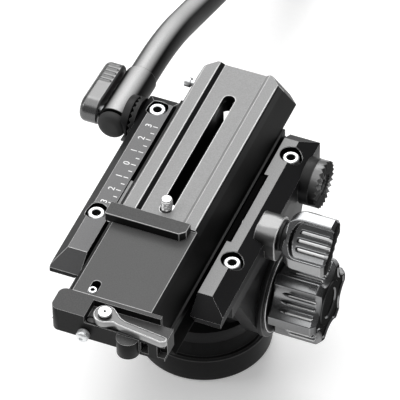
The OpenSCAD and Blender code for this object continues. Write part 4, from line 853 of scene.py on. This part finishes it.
class FLUIDHEAD_OT_screws(bpy.types.Operator):
    """Makes the threaded camera screw and the knurled thumb screw"""

    bl_idname = "fluid_head.screws"
    bl_label = "Screws"

    def execute(self, context):
        sizes = context.scene.head_sizes
        low, high = box_mm("camera_screw")
        x, y = 0.5 * (low[0] + high[0]), 0.5 * (low[1] + high[1])
        thread_length, thread_radius, head_radius, head_height, neck = 6.5, 3.175, 6.3, 5.0, 2.6
        top, foot = high[2], high[2] - thread_length
        thread = thread_skin(x, y, foot, top, thread_radius, sizes.thread_pitch / MM)
        tip = thread[-1:].repeat(3, 0)
        tip_share = np.array([0.9, 0.5, 0.05])[:, None, None]
        tip[:, :, :2] = np.array([x, y]) + (tip[:, :, :2] - [x, y]) * tip_share
        shank = [[0.5, low[2]], [head_radius, low[2]], [head_radius, low[2] + head_height],
                 [neck, low[2] + head_height], [neck, foot + 0.4]]
        shank = turned_rings(round_edges(shank, 0.4), 96) + [x, y, 0]
        screw = join_skins([skin(np.concatenate([thread, tip])), skin(shank)])
        put("camera_screw_look", screw, "screw", "thread_steel", ["camera_screw"])
        low, high = box_mm("thumb_screw")
        x, z = 0.5 * (low[0] + high[0]), 0.5 * (low[2] + high[2])
        head = 5.0
        rings = fluted_skin(0.0, head, 0.5 * (high[0] - low[0]), flutes=26, depth=0.3, h0=0.6, h1=4.3)
        rings[..., 2] = low[1] + head - rings[..., 2]
        put("thumb_screw_look", skin(to_y(rings, x, z)), "plate", "bright_steel", ["thumb_screw"])
        return {"FINISHED"}


def flat_text(word, height):
    """Outline of a word as a flat mesh round the origin: its points (n, 2) and its triangles."""
    curve = bpy.data.curves.new("word", "FONT")
    curve.body = word
    curve.align_x = "CENTER"
    curve.align_y = "CENTER"
    curve.size = height * 1.4
    curve.offset = height * 0.012
    curve.resolution_u = 4
    maker = bpy.data.objects.new("word", curve)
    bpy.context.scene.collection.objects.link(maker)
    flat = bpy.data.meshes.new_from_object(maker.evaluated_get(bpy.context.evaluated_depsgraph_get()))
    flat.calc_loop_triangles()
    points = np.zeros(len(flat.vertices) * 3)
    flat.vertices.foreach_get("co", points)
    triangles = np.zeros(len(flat.loop_triangles) * 3, int)
    flat.loop_triangles.foreach_get("vertices", triangles)
    bpy.data.objects.remove(maker)
    return points.reshape(-1, 3)[:, :2], triangles.reshape(-1, 3)


class FLUIDHEAD_OT_scale(bpy.types.Operator):
    """Paints the balance scale on the left rail: numbers each 10 mm and ticks each 5 mm"""

    bl_idname = "fluid_head.scale"
    bl_label = "Scale"

    def execute(self, context):
        _, high = box_mm("left_rail")
        inner, top, zero = high[0], high[2] + PAINT, -10.0
        number_step, number_inset, tick_step, tick_inset, half_tick = 10.0, 6.4, 5.0, 1.3, 0.3
        long_tick, short_tick = 2.7, 2.1
        height = context.scene.head_sizes.digit_height / MM
        points, triangles, count = [], [], 0
        for number in range(-3, 4):
            flat, faces = flat_text(str(abs(number)), height)
            across, along = inner - number_inset - flat[:, 1], flat[:, 0] + zero + number_step * number
            points.append(np.column_stack([across, along, np.full(len(flat), top)]))
            triangles.append(faces + count)
            count += len(flat)
        ticks = np.arange(-6, 7)
        reach = np.where(ticks % 2 == 0, long_tick, short_tick)
        x0, x1 = inner - tick_inset - reach, np.full(len(ticks), inner - tick_inset)
        y0, y1 = zero + tick_step * ticks - half_tick, zero + tick_step * ticks + half_tick
        z = np.full(len(ticks), top)
        corners = np.stack([np.column_stack([a, b, z]) for a, b in ((x0, y0), (x1, y0), (x1, y1), (x0, y1))], 1)
        quads = np.arange(len(ticks) * 4).reshape(-1, 4) + count
        points = np.vstack(points + [corners.reshape(-1, 3)])
        put("scale_marks", (points, quads, np.vstack(triangles)), "tilt", "white_paint")
        return {"FINISHED"}


def screw_places():
    """Places (x, y) of the four rail screws: the left pair sits further back than the right pair."""
    low, high = box_mm("rail_screws")
    head_radius, reach, stagger = 4.5, 41.0, 3.25
    x, middle = high[0] - head_radius, 0.5 * (low[1] + high[1])
    return [(s * x, middle - s * stagger + e * reach) for s in (-1, 1) for e in (-1, 1)]


def rail_height(x, y):
    """Height of the rails' upper side: the lowest of the flat, the outer slopes and the rear slope."""
    top = box_mm("left_rail")[1][2]
    # Drop below the flat: each slope starts at its own line and falls 1, 5/9 or 5/8 of the way out
    left, right, rear = -x - 43.0, (x - 40.0) * 5 / 9, (y - 38.0) * 5 / 8
    return top - np.maximum(np.maximum(left, right), np.maximum(rear, 0.0))


class FLUIDHEAD_OT_trim(bpy.types.Operator):
    """Adds slim trim: painted highlights on the plate's slot rim and strip edges, painted highlight rims and
    painted shade linings in the screw wells, raised screw heads with sockets in painted shade, dots of painted shade
    on two pins, painted shade in the lever's groove and a painted highlight ring on the hub"""

    bl_idname = "fluid_head.trim"
    bl_label = "Trim"

    def execute(self, context):
        top = box_mm("quick_plate")[1][2]
        field = top - 2.3
        # Painted highlight on the rim of the plate's slot
        slot = stadium_band(-47.0, 38.65, 3.36, 3.72, field + PAINT, field + PROUD)
        put("slot_rim_highlight", skin(slot, False), "plate", "light_edge_highlight")
        # Painted highlight along the left and right side of each edge of the raised strips, with its rear end
        lines = [strip_box([left, -57.5, top - 0.1], [right, rear, top + PROUD], bevel=0.02)
                 for left, right, rear in ((-14.45, -14.0, 60.5), (20.2, 20.65, 55.0))]
        put("strip_edge_highlights", join_skins(lines), "plate", "light_edge_highlight")
        self.dress_wells()
        self.dress_heads()
        self.dot("pivot_dot", "lever_screw", 0.75, "plate")
        self.dot("pin_dot", "index_pin", 0.8, "pin")
        # Painted shade in the lever's groove, laid on its ledge
        ledge = box_mm("cam_lever")[0][2] - 0.04
        groove = stadium_band(-7.0, 8.5, 1.5, 2.3, ledge, ledge)[..., [1, 0, 2]]
        groove[..., 1] += box_mm("front_block")[0][1] + 9.0
        put("lever_groove_shade", skin(groove, False), "plate", "recess_shade")
        # Painted highlight: a thin bright ring where the hub's edge catches the light
        low, high = box_mm("right_hub_ring")
        ring_radius, bead_radius, a = 23.9, 0.28, np.linspace(0, 2 * np.pi, 13)
        bead = np.column_stack([ring_radius + bead_radius * np.cos(a), high[0] - 0.5 + bead_radius * np.sin(a)])
        ring = to_x(turned_rings(bead, 160), 0.5 * (low[1] + high[1]), 0.5 * (low[2] + high[2]))
        put("hub_highlight_ring", skin(ring, False), "tilt", "trim_highlight")
        return {"FINISHED"}

    def dress_wells(self):
        """Painted highlight rim round each screw's well, laid on the rail's upper side, and a lining of painted shade
        in the well.
        """
        seat = box_mm("rail_screws")[1][2] - 4.0
        rims, linings = [], []
        for x, y in screw_places():
            rim = turned_rings([[5.95, -0.5], [5.95, -0.25], [6.25, PROUD], [6.35, -0.1]], 128) + [x, y, 0]
            rim[..., 2] += rail_height(rim[..., 0], rim[..., 1])
            rims.append(skin(rim, False))
            lining = turned_rings([[5.96, 0.0], [5.96, 0.0], [4.6, 0.0]], 96) + [x, y, seat + 0.05]
            lining[0, :, 2] = rail_height(lining[0, :, 0], lining[0, :, 1]) - 0.5
            linings.append(skin(lining, False))
        put("counterbore_rim_highlights", join_skins(rims), "tilt", "trim_highlight")
        put("counterbore_shade_linings", join_skins(linings), "tilt", "recess_shade")

    def dress_heads(self):
        """Raised ring on each screw's head, higher on the left, round a six-sided socket in painted shade."""
        head = box_mm("rail_screws")[1][2]
        left_rise, right_rise = 2.6, 2.0
        caps, sockets = [], []
        for x, y in screw_places():
            top = head + (left_rise if x < 0 else right_rise)
            cap = [[2.25, head - 0.1], [2.25, top - 0.3], [2.6, top], [3.9, top],
                   [4.45, top - 0.5], [4.45, head - 0.1]]
            caps.append(skin(turned_rings(round_edges(cap, 0.2), 96) + [x, y, 0], False))
            sockets.append(skin(turned_rings([[2.3, head], [2.3, top - 0.5]], 6) + [x, y, 0]))
        put("screw_caps", join_skins(caps), "tilt", "bright_steel")
        put("hex_shadows", join_skins(sockets), "tilt", "recess_shade")

    def dot(self, name, node, radius, body):
        """Round dot of painted shade in the middle of a pin's or a screw's upper side."""
        low, high = box_mm(node)
        rings = turned_rings([[radius, high[2] - 0.2], [radius, high[2] + PROUD]], 32)
        put(name, skin(rings + [*(0.5 * (low + high)[:2]), 0]), body, "recess_shade")


# Name, place, size and power of each soft light
STUDIO_LIGHTS = (
    ("overhead", (-0.2, 0.1, 1.7), 2.6, 40.0),
    ("back_panel", (-0.5, 1.1, 1.2), 0.9, 9.0),
    ("left_strip", (-1.2, -0.5, 0.8), 0.5, 3.0),
)


class FLUIDHEAD_OT_stage(bpy.types.Operator):
    """Sets the pale floor, the soft lights and the camera at the photographed angle"""

    bl_idname = "fluid_head.stage"
    bl_label = "Stage"

    def execute(self, context):
        scene = context.scene
        self.lay_floor(scene)
        world = bpy.data.worlds.new("studio")
        world.use_nodes = True
        sky = world.node_tree.nodes["Background"].inputs
        sky["Color"].default_value = (1, 1, 1, 1)
        sky["Strength"].default_value = 0.16
        scene.world = world
        for name, place, size, power in STUDIO_LIGHTS:
            data = bpy.data.lights.new(name, "AREA")
            data.size = size
            data.energy = power
            lamp = bpy.data.objects.new(name, data)
            lamp.location = place
            lamp.rotation_euler = (Vector((0, 0, 0.1)) - Vector(place)).to_track_quat("-Z", "Y").to_euler()
            scene.collection.objects.link(lamp)
        self.set_camera(scene)
        scene.view_settings.view_transform = "Standard"
        return {"FINISHED"}

    def lay_floor(self, scene):
        """Pale square floor just below the head, which glows a little so that it stays white."""
        half, z = 4, min(CAD_BOX[0][2], 0.0) - 0.0003
        mesh = bpy.data.meshes.new("floor")
        corners = [(-half, -half, z), (half, -half, z), (half, half, z), (-half, half, z)]
        mesh.from_pydata(corners, [], [(0, 1, 2, 3)])
        pale = moulded_finish("pale_floor", colour=grey(0.9), rough=0.8, pore=300.0, dusting=0.01)
        glow = pale.node_tree.nodes["Principled BSDF"].inputs
        glow["Emission Color"].default_value = (1, 1, 1, 1)
        glow["Emission Strength"].default_value = 0.3
        mesh.materials.append(pale)
        floor = bpy.data.objects.new("floor", mesh)
        scene.collection.objects.link(floor)

    def set_camera(self, scene):
        """Camera far along the direction (azimuth, elevation), rolled, and aimed beside the plate's middle."""
        azimuth, elevation, roll, far = math.radians(23.5), math.radians(46.0), math.radians(-1.37), 2.45
        out = Vector((math.sin(azimuth) * math.cos(elevation), -math.cos(azimuth) * math.cos(elevation),
                      math.sin(elevation)))
        level = Vector((math.cos(azimuth), math.sin(azimuth), 0))
        rise = out.cross(level)
        right = level * math.cos(roll) + rise * math.sin(roll)
        up = rise * math.cos(roll) - level * math.sin(roll)
        aim = Vector((0, -0.010, 0.122)) + right * 0.00302 - up * 0.00657
        data = bpy.data.cameras.new("camera")
        data.lens = 419.8
        data.sensor_width = 36.0
        camera = bpy.data.objects.new("camera", data)
        camera.location = aim + out * far
        camera.rotation_euler = Matrix((right, up, out)).transposed().to_euler()
        scene.collection.objects.link(camera)
        scene.camera = camera


STEPS = (FLUIDHEAD_OT_finishes, FLUIDHEAD_OT_knobs, FLUIDHEAD_OT_handle, FLUIDHEAD_OT_screws,
         FLUIDHEAD_OT_scale, FLUIDHEAD_OT_trim, FLUIDHEAD_OT_stage)


class FLUIDHEAD_PT_looks(bpy.types.Panel):
    """Lists the steps that dress the head"""

    bl_idname = "FLUIDHEAD_PT_looks"
    bl_label = "Video head"
    bl_space_type = "VIEW_3D"
    bl_region_type = "UI"
    bl_category = "Video head"

    def draw(self, context):
        for step in STEPS:
            self.layout.operator(step.bl_idname)


CLASSES = (HeadSizes, HeadColours) + STEPS + (FLUIDHEAD_PT_looks,)


def register():
    """Registers the classes and the two groups of settings."""
    for made in CLASSES:
        bpy.utils.register_class(made)
    bpy.types.Scene.head_sizes = bpy.props.PointerProperty(type=HeadSizes)
    bpy.types.Scene.head_colours = bpy.props.PointerProperty(type=HeadColours)


def unregister():
    """Removes what register added."""
    del bpy.types.Scene.head_colours
    del bpy.types.Scene.head_sizes
    for made in reversed(CLASSES):
        bpy.utils.unregister_class(made)


def main():
    """Dresses the head step by step."""
    register()
    bpy.ops.fluid_head.finishes()
    bpy.ops.fluid_head.knobs()
    bpy.ops.fluid_head.handle()
    bpy.ops.fluid_head.screws()
    bpy.ops.fluid_head.scale()
    bpy.ops.fluid_head.trim()
    bpy.ops.fluid_head.stage()


if __name__ == "__main__":
    main()
